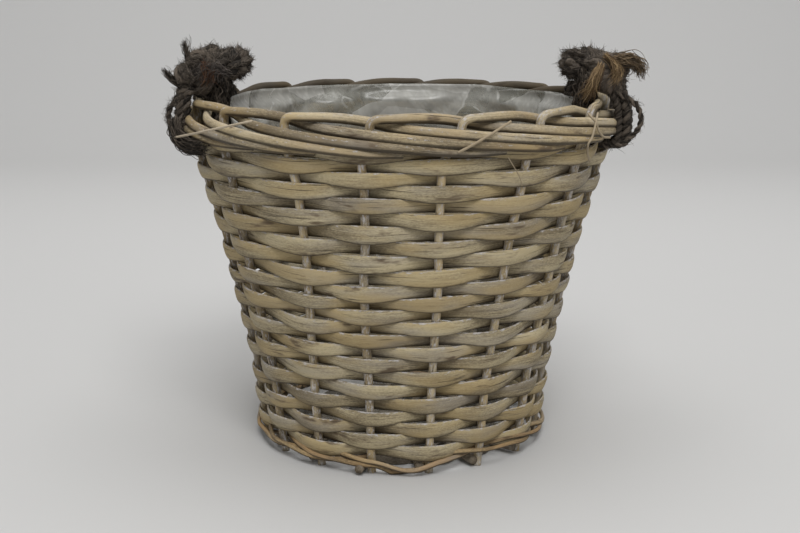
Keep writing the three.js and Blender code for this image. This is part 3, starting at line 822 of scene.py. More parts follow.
# %% Weave the base
BASE_WEAVE_START = 46.0
BASE_STRIP_WIDTH = 8.0
BASE_STRIP_THICKNESS = 1.2
BASE_PITCH = 8.3
BASE_STRIP_CORNERS = 12
BASE_LOWEST = 0.2
LOOSE_CROSSINGS = 15
LOOSE_BULGE = 10.0
LOOSE_TIP = np.radians(60.0)
BASE_WEAVE_END = FOOT_RADIUS - STAKE_RADIUS - FIT - BASE_STRIP_WIDTH / 2
BASE_CROSSINGS = int((BASE_WEAVE_END - BASE_WEAVE_START) / (2 * BASE_PITCH) * STAKE_COUNT)


def base_weaver(strand, rng):
    """Flat strip that winds outwards, over and under the arms in turn, loose in its last round."""
    crossing = np.linspace(0.0, BASE_CROSSINGS, BASE_CROSSINGS * 12 + 1)
    angle = stake_angle(strand * STAKE_COUNT / 2 + crossing) - ARM_SHIFT
    radius = BASE_WEAVE_START + 2 * BASE_PITCH * crossing / STAKE_COUNT
    last_part = np.clip((crossing - (BASE_CROSSINGS - LOOSE_CROSSINGS)) / 2, 0.0, 1.0)
    loose = last_part * np.sin(np.pi * crossing) ** 2
    bulge = LOOSE_BULGE * rng.uniform(0.3, 1.1, BASE_CROSSINGS + 1)[crossing.astype(int)]
    radius = radius + loose * bulge
    swing = -np.cos(np.pi * (crossing + strand)) * (STICK_RADIUS + FIT + BASE_STRIP_THICKNESS / 2)
    across, thick = rounded_section(BASE_STRIP_CORNERS, STRIP_ROUNDNESS)
    outer = np.clip((crossing - (BASE_CROSSINGS - STAKE_COUNT)) / 4, 0.0, 1.0)
    swing = swing * (1 - 0.8 * outer)
    tip = (np.maximum(loose, 0.85 * outer) * LOOSE_TIP)[:, None]
    side_way = across[None, :] * BASE_STRIP_WIDTH / 2 * (1 + 0.03 * wander(crossing, 0.4, rng))[:, None]
    thick_way = thick[None, :] * BASE_STRIP_THICKNESS / 2
    reach = side_way * np.cos(tip) + thick_way * np.sin(tip)
    height = STICK_HEIGHT - outer[:, None] + swing[:, None] + thick_way * np.cos(tip)
    height = np.maximum(height - side_way * np.sin(tip), BASE_LOWEST)
    rings = polar(radius[:, None] + reach, angle[:, None], height)
    far = length_along(rings.mean(1))
    start = rng.uniform(0.0, 5000.0)
    grain = np.stack([
        np.broadcast_to(far[:, None] + start, reach.shape), side_way,
        np.broadcast_to(thick_way, reach.shape),
    ], axis=-1)
    tone = 0.7 * wander(far, 60.0, rng)
    return rings, grain, tone, np.broadcast_to(np.abs(across[None, :]) ** 6, reach.shape)


for strand, letter in enumerate("ab"):
    rings, grain, tone, edge = base_weaver(strand, seeded(50, strand))
    piece = make_skins(f"base_strip_{letter}", rings[None], grain[None], tone[None], shaded_base_willow,
                       edge[None, ..., None])
    show_as(piece, "basket", "base_strip_willow", f"base_weaver_{letter}")
print("base woven over", BASE_CROSSINGS, "crossings a strip")

# %% [markdown]
# ## Film liner
# A thin clear film stands inside the weave, pushed into the round and tucked under the border.
# It is one sheet, floor and wall, drawn in by sharp creases. A crease is a zigzag wave, straight
# between its ridges. Many of them cross at all slants, and slow swells bend them, which breaks the
# film up into uneven facets. The rim is lower in front, as in the picture.

# %% Crumple the film
FILM_THICKNESS = 0.12
FILM_FLOOR = 14.7
FILM_AROUND = 360
FILM_UP = 104
FLOOR_RINGS = 15
FILM_RIM = 246.9
FRONT_DROP = 24.0
WEAVE_INSIDE = 6.7
SHOULDER_HEIGHT, NECK_HEIGHT, TOP_HEIGHT = 207.3, 216.5, 250.0
NECK_RADIUS, TOP_RADIUS = 129.4, 128.4
FILM_CLEAR = 0.4
FOLDS = ((3.0, 3, 7, 3), (2.6, 7, 14, 4), (1.0, 14, 22, 3))


def fold_waves(around, level, rng):
    """Sum of folds: size times twice the way of a slanted phase from the middle of its turn."""
    total = np.zeros(np.broadcast(around, level).shape)
    for size, slowest, fastest, count in FOLDS:
        for _ in range(count):
            turns = rng.integers(slowest, fastest) * rng.choice([-1, 1])
            climb = rng.uniform(-1.0, 1.0) * fastest * 0.45
            wave = rng.integers(1, 5) * around + rng.uniform(0.5, 3.0) * level
            swell = 0.25 * np.sin(TAU * wave + rng.uniform(0, TAU))
            phase = turns * around + climb * level + rng.uniform(0, 1) + swell
            total = total + size * np.abs(2 * (phase % 1.0) - 1) * rng.uniform(0.5, 1.3)
    return total


rng = seeded(60)
around = np.linspace(0.0, 1.0, FILM_AROUND, endpoint=False)[None, :]
level = np.linspace(0.0, 1.0, FILM_UP)[:, None]
around, level = np.broadcast_arrays(around, level)
creases = fold_waves(around, level, rng)
outline_height = np.array([FILM_FLOOR, SHOULDER_HEIGHT, NECK_HEIGHT, TOP_HEIGHT])
wall_radius = FOOT_RADIUS + outline_height * np.tan(LEAN) - WEAVE_INSIDE / np.cos(LEAN)
outline_radius = np.array([wall_radius[0], wall_radius[1], NECK_RADIUS, TOP_RADIUS])
front_side = np.clip(np.cos(around[:1] * TAU) * 1.5 - 0.2, 0.0, 1.0)
rim_height = FILM_RIM - FRONT_DROP * front_side - 0.12 * creases[-1][None, :]
height = FILM_FLOOR + (rim_height - FILM_FLOOR) * level
radius = np.interp(height, outline_height, outline_radius)
settle = np.clip((1 - level) / 0.05, 0.5, 1.0) * np.clip(level / 0.02, 0.3, 1.0)
inner = radius - FILM_CLEAR - creases * settle
angle = around * TAU
film_wall = polar(inner, angle, height)
floor_share = np.linspace(1.0, 0.0, FLOOR_RINGS + 2)[1:-1, None]
floor_radius = inner[0][None, :] * floor_share
floor_rise = np.clip((1 - floor_share) / 0.1, 0.0, 1.0)
floor_folds = 0.25 * fold_waves(around[:1], floor_share, rng)
floor_height = (FILM_FLOOR + floor_folds) * floor_rise + height[0] * (1 - floor_rise)
film_floor = polar(floor_radius, np.broadcast_to(angle[0], floor_radius.shape), floor_height)
sheet = np.concatenate([film_floor[::-1], film_wall], axis=0)
print("film sheet of", sheet.shape[:2], "points, creased up to", round(float(creases.max()), 1), "mm")

# %% [markdown]
# Crumpled film is a patchwork: each facet mirrors another part of the room, so one is pale, the
# next dark, and the ridges between them are milky lines. The facets here are the cells of a
# pattern on a bent grid, each with its own shade and opacity. The `edge` attribute, which holds
# how sharply the film is folded at each point, makes folds milky too. The film is nearly clear
# down the wall and dusty near the rim.

# %% Film material and object
FACET_BEND = (0.070, 0.070, 0.050)
FACET_SCALE = (27.0, 27.0, 40.0)
FACET_DARK, FACET_PALE = (0.215, 0.212, 0.178, 1.0), (0.57, 0.56, 0.525, 1.0)
MILKY_RIDGE = (0.70, 0.695, 0.66, 1.0)

film_material, tree, shader = new_material("film")
spot = wire(tree, "ShaderNodeTexCoord").outputs["Object"]
haze = stretched_noise(tree, spot, (34.0, 34.0, 26.0), 3.0, 0.5)
fine = stretched_noise(tree, spot, (90.0, 90.0, 50.0), 3.0, 0.5)
crease = attribute(tree, "edge", "Fac")
lift = wire(tree, "ShaderNodeSeparateXYZ", {"Vector": spot}).outputs["Z"]
near_rim = between(tree, lift, 0.200, 0.226)
bend = wire(tree, "ShaderNodeTexNoise", {"Vector": spot, "Scale": 14.0, "Detail": 2.0}).outputs["Color"]
bent = vector_sums(tree, "ADD", vector_sums(tree, "MULTIPLY", bend, FACET_BEND), spot)
grid = {"Vector": vector_sums(tree, "MULTIPLY", bent, FACET_SCALE), "Scale": 1.0}
cells = wire(tree, "ShaderNodeTexVoronoi", grid, feature="F1")
facet = wire(tree, "ShaderNodeSeparateColor", {"Color": cells.outputs["Color"]}).outputs[0]
to_ridge = wire(tree, "ShaderNodeTexVoronoi", grid, feature="DISTANCE_TO_EDGE").outputs["Distance"]
ridge = sums(tree, "MULTIPLY", between(tree, to_ridge, 0.045, 0.0), between(tree, fine, 0.45, 0.65))
cloud = sums(tree, "MULTIPLY_ADD", facet, 0.24, 0.38)
cloud = sums(tree, "MULTIPLY_ADD", between(tree, haze, 0.35, 0.75), 0.14, cloud)
crease = sums(tree, "MAXIMUM", crease, ridge)
opacity = sums(tree, "ADD", cloud, sums(tree, "MULTIPLY", crease, 0.30))
opacity = sums(tree, "MULTIPLY", opacity, sums(tree, "MULTIPLY_ADD", near_rim, 0.88, 0.12))
tree.links.new(opacity, shader.inputs["Alpha"])
pale = sums(tree, "MULTIPLY_ADD", facet, 0.75, sums(tree, "MULTIPLY_ADD", haze, 0.5, -0.12))
tint = mixed(tree, pale, FACET_DARK, FACET_PALE)
tint = mixed(tree, sums(tree, "MULTIPLY", ridge, 0.40), tint, MILKY_RIDGE)
tree.links.new(tint, shader.inputs["Base Color"])
tree.links.new(sums(tree, "MULTIPLY_ADD", fine, 0.25, 0.14), shader.inputs["Roughness"])
bump = wire(tree, "ShaderNodeBump", {"Height": fine, "Distance": 0.00015})
tree.links.new(bump.outputs["Normal"], shader.inputs["Normal"])
print("film material has", len(tree.nodes), "nodes")

# %% [markdown]
# The sheet's rows run up from the middle of the floor to the rim, and each row closes round.

# %% The film as one sheet
rows, columns = sheet.shape[:2]
index = np.arange(rows * columns).reshape(rows, columns)
after = np.roll(index, -1, axis=1)
quads = np.stack([index[:-1], after[:-1], after[1:], index[1:]], axis=-1).reshape(-1, 4)
centre = rows * columns
fan = np.stack([after[0], index[0], np.full(columns, centre)], axis=-1)
points = np.vstack([sheet.reshape(-1, 3), [[0.0, 0.0, FILM_FLOOR + 0.5]]])
folded = np.abs(np.roll(creases, 1, axis=1) + np.roll(creases, -1, axis=1) - 2 * creases)
crease_level = np.zeros((rows, columns))
crease_level[rows - FILM_UP:] = np.clip(folded / 0.5, 0.0, 1.0)
edge = {"edge": np.append(crease_level.ravel(), 0.0)}
film = make_object("liner_film", points, quads, fan, film_material, edge)
thick = film.modifiers.new("film_thickness", "SOLIDIFY")
thick.thickness = FILM_THICKNESS * MM
thick.offset = 0.0
show_as(film, "basket", "film", "liner")
corner = points[quads] * MM
diagonals = np.cross(corner[:, 2] - corner[:, 0], corner[:, 3] - corner[:, 1])
film_area = float(np.linalg.norm(diagonals, axis=1).sum() / 2)
print("film has", len(film.data.polygons), "faces and", round(film_area, 3), "square metres")

# %% [markdown]
# ## Rope
# The handles are thick dark rope of coarse fibre, worn and fuzzy. Rope is built the way it is
# made: fibres are twisted into yarns, yarns into strands and strands into the rope, so a yarn's
# path is a helix round a helix. Loose fibres stand out all over it.

# %% Rope material
fibres, into, out_of = new_group(
    "rope_fibres", [("Grain", VECTOR), ("Tone", FLOAT), ("Light", COLOR), ("Dark", COLOR)],
    [("Color", COLOR), ("Height", FLOAT)])
strands = stretched_noise(fibres, into.outputs["Grain"], (70.0, 1700.0, 1700.0), 4.0, 0.65)
hairs = stretched_noise(fibres, into.outputs["Grain"], (260.0, 5200.0, 5200.0), 2.0)
shade = sums(fibres, "MULTIPLY_ADD", strands, 1.1, sums(fibres, "MULTIPLY_ADD", hairs, 0.4, -0.3))
shade = sums(fibres, "MULTIPLY_ADD", into.outputs["Tone"], 0.5, shade)
color = mixed(fibres, between(fibres, shade, 0.1, 1.2), into.outputs["Dark"], into.outputs["Light"])
height = sums(fibres, "MULTIPLY_ADD", strands, 0.8, sums(fibres, "MULTIPLY", hairs, 0.3))
fibres.links.new(color, out_of.inputs["Color"])
fibres.links.new(height, out_of.inputs["Height"])


def fibre_material(name, light, dark, relief):
    """A finish of twisted fibres in two colours."""
    material, tree, shader = new_material(name)
    group = wire(tree, "ShaderNodeGroup", node_tree=fibres)
    tree.links.new(attribute(tree, "grain", "Vector"), group.inputs["Grain"])
    tree.links.new(attribute(tree, "tone", "Fac"), group.inputs["Tone"])
    group.inputs["Light"].default_value = (*light, 1.0)
    group.inputs["Dark"].default_value = (*dark, 1.0)
    bump = wire(tree, "ShaderNodeBump", {"Height": group.outputs["Height"], "Distance": relief})
    tree.links.new(group.outputs["Color"], shader.inputs["Base Color"])
    tree.links.new(bump.outputs["Normal"], shader.inputs["Normal"])
    shader.inputs["Roughness"].default_value = 0.85
    shader.inputs["Specular IOR Level"].default_value = 0.25
    return material


rope_dark = fibre_material("rope_dark", (0.198, 0.160, 0.125), (0.009, 0.007, 0.005), 0.0008)
rope_fuzz = fibre_material("rope_fuzz", (0.345, 0.288, 0.232), (0.016, 0.012, 0.009), 0.0004)
rope_golden = fibre_material("rope_golden", (0.560, 0.400, 0.210), (0.085, 0.050, 0.026), 0.0004)
rope_red = fibre_material("rope_red", (0.230, 0.110, 0.055), (0.022, 0.012, 0.008), 0.0004)
rope_grey = fibre_material("rope_grey", (0.200, 0.170, 0.150), (0.030, 0.024, 0.020), 0.0004)
rope_olive = fibre_material("rope_olive", (0.380, 0.270, 0.160), (0.040, 0.028, 0.018), 0.0004)
raffia = fibre_material("raffia", (0.640, 0.560, 0.440), (0.300, 0.240, 0.160), 0.0002)
print("rope and raffia materials made")

# %% [markdown]
# A bundle of yarns round a path needs a frame that doesn't spin: the side and the normal come
# from one reference direction. Each yarn then winds round that frame.

# %% Twist yarns round a path
def frame_of(path, reference):
    """Unit side and normal square to the path, with the normal nearest the reference."""
    along = unit(np.gradient(path, axis=-2))
    normal = unit(reference - (reference * along).sum(-1, keepdims=True) * along)
    return np.cross(along, normal), normal


def twisted(path, reference, offset, turns_per_mm, start):
    """Helix round a path: the offset turns about it as it goes."""
    side, normal = frame_of(path, reference)
    spin = (start + TAU * turns_per_mm * length_along(path))[:, None]
    return path + offset * (np.cos(spin) * side + np.sin(spin) * normal)


def yarns_round(path, reference, strand_count, strand_radius, yarn_count, yarn_radius, pitch, rng):
    """All yarn paths of a rope: strands wind round the path, and yarns wind round each strand."""
    found = []
    strand_offset = strand_radius / np.sin(np.pi / strand_count) if strand_count > 1 else 0.0
    yarn_offset = yarn_radius / np.sin(np.pi / yarn_count) if yarn_count > 1 else 0.0
    for strand in range(strand_count):
        start = TAU * strand / strand_count
        strand_path = twisted(path, reference, strand_offset, 1 / pitch, start)
        for yarn in range(yarn_count):
            turn = TAU * yarn / yarn_count + rng.uniform(-0.2, 0.2)
            found.append(twisted(strand_path, reference, yarn_offset, -1.6 / pitch, turn))
    return np.stack(found)


def yarn_skins(paths, radius, corners, rng, twist=0.6):
    """Rings, grain and tone of many yarns; the radius is multiplied by one plus a small sine."""
    far = length_along(paths)
    turn = TAU * np.arange(corners) / corners
    reference = unit(rng.normal(size=(len(paths), 1, 3)))
    radius = np.broadcast_to(radius, far.shape)
    bumps = 1 + 0.08 * np.sin(far * 1.1 + rng.uniform(0, TAU, (len(paths), 1)))
    bumpy = (radius * bumps)[..., None]
    section = np.stack([np.cos(turn) * bumpy, np.sin(turn) * bumpy], axis=-1)
    spin = turn + twist * far[..., None]
    start = rng.uniform(0.0, 5000.0, (len(paths), 1, 1))
    grain = np.stack([
        far[..., None] + start + 0 * spin, radius[..., None] * np.cos(spin), radius[..., None] * np.sin(spin),
    ], axis=-1)
    tone = np.broadcast_to(rng.uniform(-0.6, 0.6, (len(paths), 1)), far.shape)
    return sweep(paths, reference, section), grain, tone


# %% [markdown]
# Loose fibres start on the surface and leave it at a slant. Each is a short curve: a straight run
# plus a bend that grows with the square of the distance, with a point at its end. A lock is a
# bundle of fibres along one line that spread towards the end, as at a frayed or cut rope end.

# %% Grow loose fibres and frayed locks
FIBRE_CORNERS = 3
FIBRE_STEPS = 5
FIBRE_CURL = 0.32


def loose_fibres(roots, directions, length, curl, thickness, rng):
    """Rings, grain and tone of fibres: root plus direction, bent by a random push that grows squared."""
    count = len(roots)
    t = np.linspace(0.0, 1.0, FIBRE_STEPS)[None, :, None]
    reach = (length * rng.uniform(0.4, 1.0, count))[:, None, None]
    push = rng.normal(size=(count, 1, 3)) * curl
    wave = rng.normal(size=(count, 1, 3)) * curl * 0.25 * np.sin(t * rng.uniform(3.0, 9.0, (count, 1, 1)))
    paths = roots[:, None] + reach * (directions[:, None] * t + push * t ** 2 + wave * t)
    thin = (thickness * rng.uniform(0.6, 1.3, count))[:, None] * (1 - 0.75 * t[..., 0] ** 2)
    return yarn_skins(paths, thin, FIBRE_CORNERS, rng, twist=0.0)


def fuzz_on(paths, radius, count, length, rng, lift, thickness):
    """Fibres that leave random places of a bundle of yarns, partly along and partly away from it."""
    hub = paths.mean(axis=0)
    which = rng.integers(0, len(paths), count)
    where = rng.integers(1, paths.shape[1] - 1, count)
    along = unit(paths[which, where + 1] - paths[which, where - 1]) * rng.choice([-1.0, 1.0], (count, 1))
    away = unit(paths[which, where] - hub[where] + rng.normal(size=(count, 3)) * radius * 0.7)
    away = unit(away - (away * along).sum(-1, keepdims=True) * along)
    roots = paths[which, where] + away * radius * 0.85
    return loose_fibres(roots, unit(along + lift * away), length, FIBRE_CURL, thickness, rng)


def lock(points, count, width, opening, thickness, rng, shortest=0.7):
    """Fibres along a line: random offsets that grow from width by opening times the way squared."""
    line = spline(points, 60)
    steps = np.linspace(0.0, 1.0, 16)
    share = rng.uniform(shortest, 1.0, (count, 1)) * steps
    base = np.stack([np.interp(share, np.linspace(0, 1, 60), line[:, k]) for k in range(3)], axis=-1)
    spread = (width + opening * share ** 2)[..., None]
    phase = share[..., None] * rng.uniform(4.0, 14.0, (count, 1, 3))
    wave = np.sin(phase + rng.uniform(0, TAU, (count, 1, 3)))
    paths = base + rng.normal(size=(count, 1, 3)) * spread * 0.5 + wave * spread * 0.3
    thin = thickness * rng.uniform(0.7, 1.3, (count, 1)) * (1 - 0.6 * steps ** 3)
    return yarn_skins(paths, thin, FIBRE_CORNERS, rng, twist=0.0)


# %% [markdown]
# ## Handles
# Each handle is an arch of three-strand rope between two knots on the border. The knots follow a
# trefoil curve, the simplest knot there is, which passes over and under itself three times. The
# whole handle leans over the mouth, nearly level. Short matted fibres cover it.

# %% Paths of the arches and knots
HANDLE_SPREAD = np.radians(16.0)
KNOT_RADIUS = 17.0
KNOT_SEAT = 0.2
KNOT_ACROSS = BORDER_RADIUS * np.cos(HANDLE_SPREAD)
KNOT_ALONG = BORDER_RADIUS * np.sin(HANDLE_SPREAD)
KNOT_HEIGHT = BORDER_TOP - KNOT_SEAT + KNOT_RADIUS
HANDLE_LEAN = np.radians(80.0)
HANDLE_RISE = {"left": 22.0, "right": 14.0}


def arch_path(side, most_rise, samples):
    """Half an ellipse between the knots that leans inwards: rise times a sine, ends at a cosine."""
    turn = np.linspace(0.0, np.pi, samples)
    rise = most_rise * np.sin(turn)
    return np.stack([
        side * (KNOT_ACROSS - rise * np.sin(HANDLE_LEAN)),
        -KNOT_ALONG * np.cos(turn),
        KNOT_HEIGHT + rise * np.cos(HANDLE_LEAN),
    ], axis=-1)


def knot_path(centre, size, turned, samples):
    """Trefoil: (sin t + 2 sin 2t, cos t - 2 cos 2t, -2 sin 3t), sized, turned and moved."""
    t = np.linspace(0.0, TAU * 0.985, samples)
    curve = np.stack([
        np.sin(t) + 2 * np.sin(2 * t),
        np.cos(t) - 2 * np.cos(2 * t),
        -2 * np.sin(3 * t),
    ], axis=-1)
    return centre + (curve * size) @ turned


def random_turn(rng):
    """A random rotation: the rows of an orthogonal matrix made from random numbers."""
    turned, _ = np.linalg.qr(rng.normal(size=(3, 3)))
    return turned * np.sign(np.linalg.det(turned))


def join(parts):
    """Puts several sets of skins with the same ring counts together."""
    return [np.concatenate(group) for group in zip(*parts)]


# %% [markdown]
# The arch is a rope of three strands with three yarns each. A knot is one strand of five yarns,
# turned its own way. The left handle is matted with fibres, the right one has fewer of them.

# %% Make the handles
ARCH_TWIST = {"strand_count": 3, "strand_radius": 4.6, "yarn_count": 3, "yarn_radius": 2.4, "pitch": 46.0}
KNOT_TWIST = {"strand_count": 1, "strand_radius": 4.0, "yarn_count": 5, "yarn_radius": 2.3, "pitch": 34.0}
ARCH_YARN_RADIUS, KNOT_YARN_RADIUS = 2.7, 2.5
YARN_CORNERS = 9
KNOT_SIZE = 3.35
KNOT_OUT = {"left": 0.0, "right": 4.0}
KNOT_SINK = 1.0
FUZZ_COUNT = {"left": 3200, "right": 1800}
FUZZ_LENGTH = 5.5
FUZZ_LIFT = 0.30
SIDES = ((-1, "left"), (1, "right"))
ENDS = ((-1, "front"), (1, "back"))

for side, label in SIDES:
    rng = seeded(70, side + 1)
    arch = eased(even_steps(arch_path(side, HANDLE_RISE[label], 120), 1.4), 2)
    reference = np.array([side * 1.0, 0.0, 0.6])
    yarns = yarns_round(arch, reference, **ARCH_TWIST, rng=rng)
    rings, grain, tone = yarn_skins(yarns, ARCH_YARN_RADIUS, YARN_CORNERS, rng)
    rope = make_skins(f"{label}_arch_yarns", rings, grain, tone, rope_dark)
    show_as(rope, f"{label}_handle", "rope", f"{label}_handle_rope")
    for end, place in ENDS:
        centre = np.array([side * (KNOT_ACROSS + KNOT_OUT[label]), end * KNOT_ALONG, KNOT_HEIGHT - KNOT_SINK])
        knot = knot_path(centre, KNOT_SIZE, random_turn(rng), 170)
        knot_yarns = yarns_round(knot, unit(knot - centre), **KNOT_TWIST, rng=rng)
        rings, grain, tone = yarn_skins(knot_yarns, KNOT_YARN_RADIUS, YARN_CORNERS, rng)
        piece = make_skins(f"{label}_{place}_knot", rings, grain, tone, rope_dark)
        show_as(piece, f"{label}_handle", "rope")
        fuzz = join([
            fuzz_on(knot_yarns, 2.5, FUZZ_COUNT[label], FUZZ_LENGTH, rng, FUZZ_LIFT, 0.19),
            fuzz_on(yarns, 2.6, FUZZ_COUNT[label], FUZZ_LENGTH, rng, FUZZ_LIFT, 0.16),
        ])
        piece = make_skins(f"{label}_{place}_fuzz", *fuzz, rope_fuzz)
        show_as(piece, f"{label}_handle", "rope")
    print(label, "handle rope is", round(float(length_along(arch)[-1])), "mm long between its knots")

# %% [markdown]
# The rope's cut ends stand out of the front knots. On the left they are dark tufts, and a frayed
# strand points outwards. On the right two golden locks hang over the knot's front. Each row gives
# the name, the material, how many fibres, how wide the lock is at its root, how much it opens, how
# thick a fibre is, and a few places along its line.

# %% Fray the rope ends
LOCKS = (
    ("left_tuft_up", rope_dark, 60, 1.8, 2.4, 0.2,
     [[-144, -42, 274], [-145, -42, 282], [-146, -43, 289]]),
    ("left_strand_out", rope_dark, 90, 1.6, 1.0, 0.24,
     [[-148, -42, 256], [-155, -43, 262], [-161, -44, 269]]),
    ("left_red_lock", rope_red, 80, 2.3, 4.0, 0.2,
     [[-131, -54, 273], [-128, -57, 267], [-128, -56, 261]]),
    ("left_grey_lock", rope_grey, 90, 3.0, 7.0, 0.2,
     [[-118, -50, 267], [-126, -56, 270], [-134, -57, 262]]),
    ("right_gold_upper", rope_golden, 120, 1.8, 3.4, 0.2,
     [[138, -50, 278], [143, -54, 273], [145, -57, 267], [141, -58, 261]]),
    ("right_gold_lower", rope_golden, 150, 2.2, 4.4, 0.2,
     [[134, -54, 271], [130, -58, 264], [127, -58, 257], [125, -54, 250]]),
    ("right_olive_end", rope_olive, 200, 3.4, 2.4, 0.24,
     [[146, -52, 276], [154, -53, 276], [160, -50, 271], [161, -48, 265]]),
    ("right_spike_upper", rope_dark, 40, 1.8, 1.5, 0.26,
     [[124, -40, 277], [117, -40, 279], [109, -41, 280]]),
    ("right_spike_lower", rope_dark, 36, 1.6, 1.4, 0.26,
     [[122, -40, 268], [115, -41, 267], [109, -42, 269]]),
)
for number, (name, material, count, width, opening, thickness, line) in enumerate(LOCKS):
    skins = lock(line, count, width, opening, thickness, seeded(75, number))
    piece = make_skins(name, *skins, material)
    show_as(piece, f"{name.split('_')[0]}_handle", "rope")
print(len(LOCKS), "frayed locks")

# %% [markdown]
# Some small things lie where the picture shows them. Each of their places is read from the picture
# as x and y in pixels, with a distance from the basket's axis that is chosen. The camera's ray
# through the pixel meets the cylinder of that radius twice, and the nearer place is the one seen.

# %% Places read from the picture
PICTURE_MIDDLE = (400.0, 266.5)
LENS_IN_PIXELS = LENS / SENSOR_WIDTH * 2 * PICTURE_MIDDLE[0]


def seen_at(x, y, radius):
    """Where a pixel's ray meets a cylinder round the axis: eye plus the nearer root times the ray."""
    down = np.radians(CAMERA_DOWN)
    eye = np.array(CAMERA_PLACE) / MM
    right, up = (x - PICTURE_MIDDLE[0]) / LENS_IN_PIXELS, (PICTURE_MIDDLE[1] - y) / LENS_IN_PIXELS
    ray = np.array([right, np.cos(down) + up * np.sin(down), up * np.cos(down) - np.sin(down)])
    a, b, c = ray[:2] @ ray[:2], eye[:2] @ ray[:2], eye[:2] @ eye[:2] - radius ** 2
    return eye + (-b - np.sqrt(b * b - a * c)) / a * ray


def seen_line(places):
    """The places of a line that is read from the picture as rows of x, y and radius."""
    return np.array([seen_at(*place) for place in places])


print("the lens is", LENS_IN_PIXELS, "pixels long")

# %% [markdown]
# Inside the border, fibres have matted together below the front knots. On the left another bundle
# runs from the lashing forwards below the border. They belong to the basket and don't swing.

# %% Mat the fibres below the knots
LOW_MAT = [[174, 122, 163.0], [177, 134, 162.0], [185, 145, 159.0], [196, 149, 156.5], [205, 148, 155.5]]
MATTED = (
    ("left_front_mat", 260, 6.0, 1.0, 0.4,
     [[-127, -38, 262], [-126, -38, 252], [-127, -38, 243], [-128, -38, 235]]),
    ("right_front_mat", 260, 6.0, 1.0, 0.4,
     [[127, -38, 262], [126, -38, 252], [127, -38, 243], [128, -38, 235]]),
    ("left_low_mat", 420, 3.4, 1.6, 0.3, seen_line(LOW_MAT)),
)
for number, (name, count, width, opening, thickness, line) in enumerate(MATTED):
    skins = lock(line, count, width, opening, thickness, seeded(77, number), shortest=0.6)
    piece = make_skins(name, *skins, rope_dark)
    show_as(piece, "basket", "rope")
print(len(MATTED), "matted bundles")

# %% [markdown]
# ## Lashings
# Under each knot, turns of cord go down inside the border, out under its lowest rod and up again.
# The cords lie side by side in two layers that part outside the border. In front, one thin cord
# stands away from the others and leaves a gap of light.

# %% Paths of the lashing cords
LASHING_HALF = 2.1
LASHING_INNER = BORDER_WAY[:, 1].min() * ROD_PITCH - STAKE_RADIUS - FIT - LASHING_HALF
BORDER_SIDE = BORDER_WAY[:, 1].max() * ROD_PITCH + STAKE_RADIUS + FIT
OUTER_CORD_SHIFT = -7.0
LASHING_CORDS = ((-6.0, -1.0), (-2.0, -0.8), (2.0, -0.9), (6.0, -1.0), (-4.4, 0.9), (0.0, 1.0), (4.2, 0.8))
CORD_STEPS = 110


def lashing_path(angle, low, shift, layer, bulge):
    """A turn of cord: a line out and up in the upright plane, plus its normal times layer and depth."""
    way = np.array([
        [LASHING_INNER + 3, BORDER_TOP + 3, LASHING_HALF],
        [LASHING_INNER, BORDER_TOP - 3, LASHING_HALF],
        [LASHING_INNER, low + 6, LASHING_HALF],
        [LASHING_INNER + 2, low + 2, LASHING_HALF],
        [LASHING_INNER + 6, low, LASHING_HALF],
        [BORDER_SIDE - 2.9, low, LASHING_HALF],
        [BORDER_SIDE + 1.0, low - 1, 3.5],
        [BORDER_SIDE + bulge, low + 5, 4.6],
        [BORDER_SIDE + bulge + 0.4, low + 14, 4.8],
        [BORDER_SIDE + bulge - 0.4, low + 24, 4.8],
        [BORDER_SIDE - 1.5, BORDER_TOP + 3, 4.5],
        [BORDER_SIDE - 7, BORDER_TOP + 8, 4.5],
    ])
    along = unit(np.gradient(way[:, :2], axis=0))
    away = np.stack([along[:, 1], -along[:, 0]], axis=-1) * (way[:, 2:] - 1.9) * layer
    return wrapped_cord(way[:, :2] + away, shift, angle)


def wrapped_cord(way, shift, angle):
    """A smooth cord through places out of the border's middle and up, at an angle round the basket."""
    unrolled = np.column_stack([np.full(len(way), shift), BORDER_RADIUS + way[:, 0], way[:, 1]])
    smooth = eased(even_steps(spline(unrolled, 120), 1.2), 2)
    return polar(smooth[:, 1], angle + smooth[:, 0] / BORDER_RADIUS, smooth[:, 2])


def resampled(path, count):
    """The same path with another number of points."""
    share = np.linspace(0, 1, len(path))
    return np.stack([np.interp(np.linspace(0, 1, count), share, path[:, k]) for k in range(3)], axis=-1)


def outer_cord(angle, out, high):
    """The cord that stands away: out of the knot, down past the border's side and in under it."""
    way = np.array([
        [8, high + 8], [out - 5, high], [out, high - 8], [out - 1, 230], [out - 10, 220], [8, 217], [-2, 218],
    ])
    return wrapped_cord(way, OUTER_CORD_SHIFT, angle)


# %% [markdown]
# The left lashings are flat and matted. The right ones stand out further and show their cords.
# Each cord is two yarns twisted together.

# %% Tie the lashings
CORD_TWIST = {"strand_count": 1, "strand_radius": 2.0, "yarn_count": 2, "yarn_radius": 1.45, "pitch": 15.0}
THIN_CORD_TWIST = {**CORD_TWIST, "yarn_radius": 0.9}
THIN_CORD_THICKNESS = 1.1
CORD_CORNERS = 8
OUTER_CORD_OUT = {"left": 20.4, "right": 28.0}
OUTER_CORD_TOP = 247.0
LASHING_LOW = 2.6
LASHING_FUZZ = {"left": 3600, "right": 1400}
LASHING_BULGE = {"left": -0.6, "right": 2.4}
LASHING_DEPTH = {"left": 0.5, "right": 1.0}
CORD_THICKNESS = {"left": 1.55, "right": 1.75}

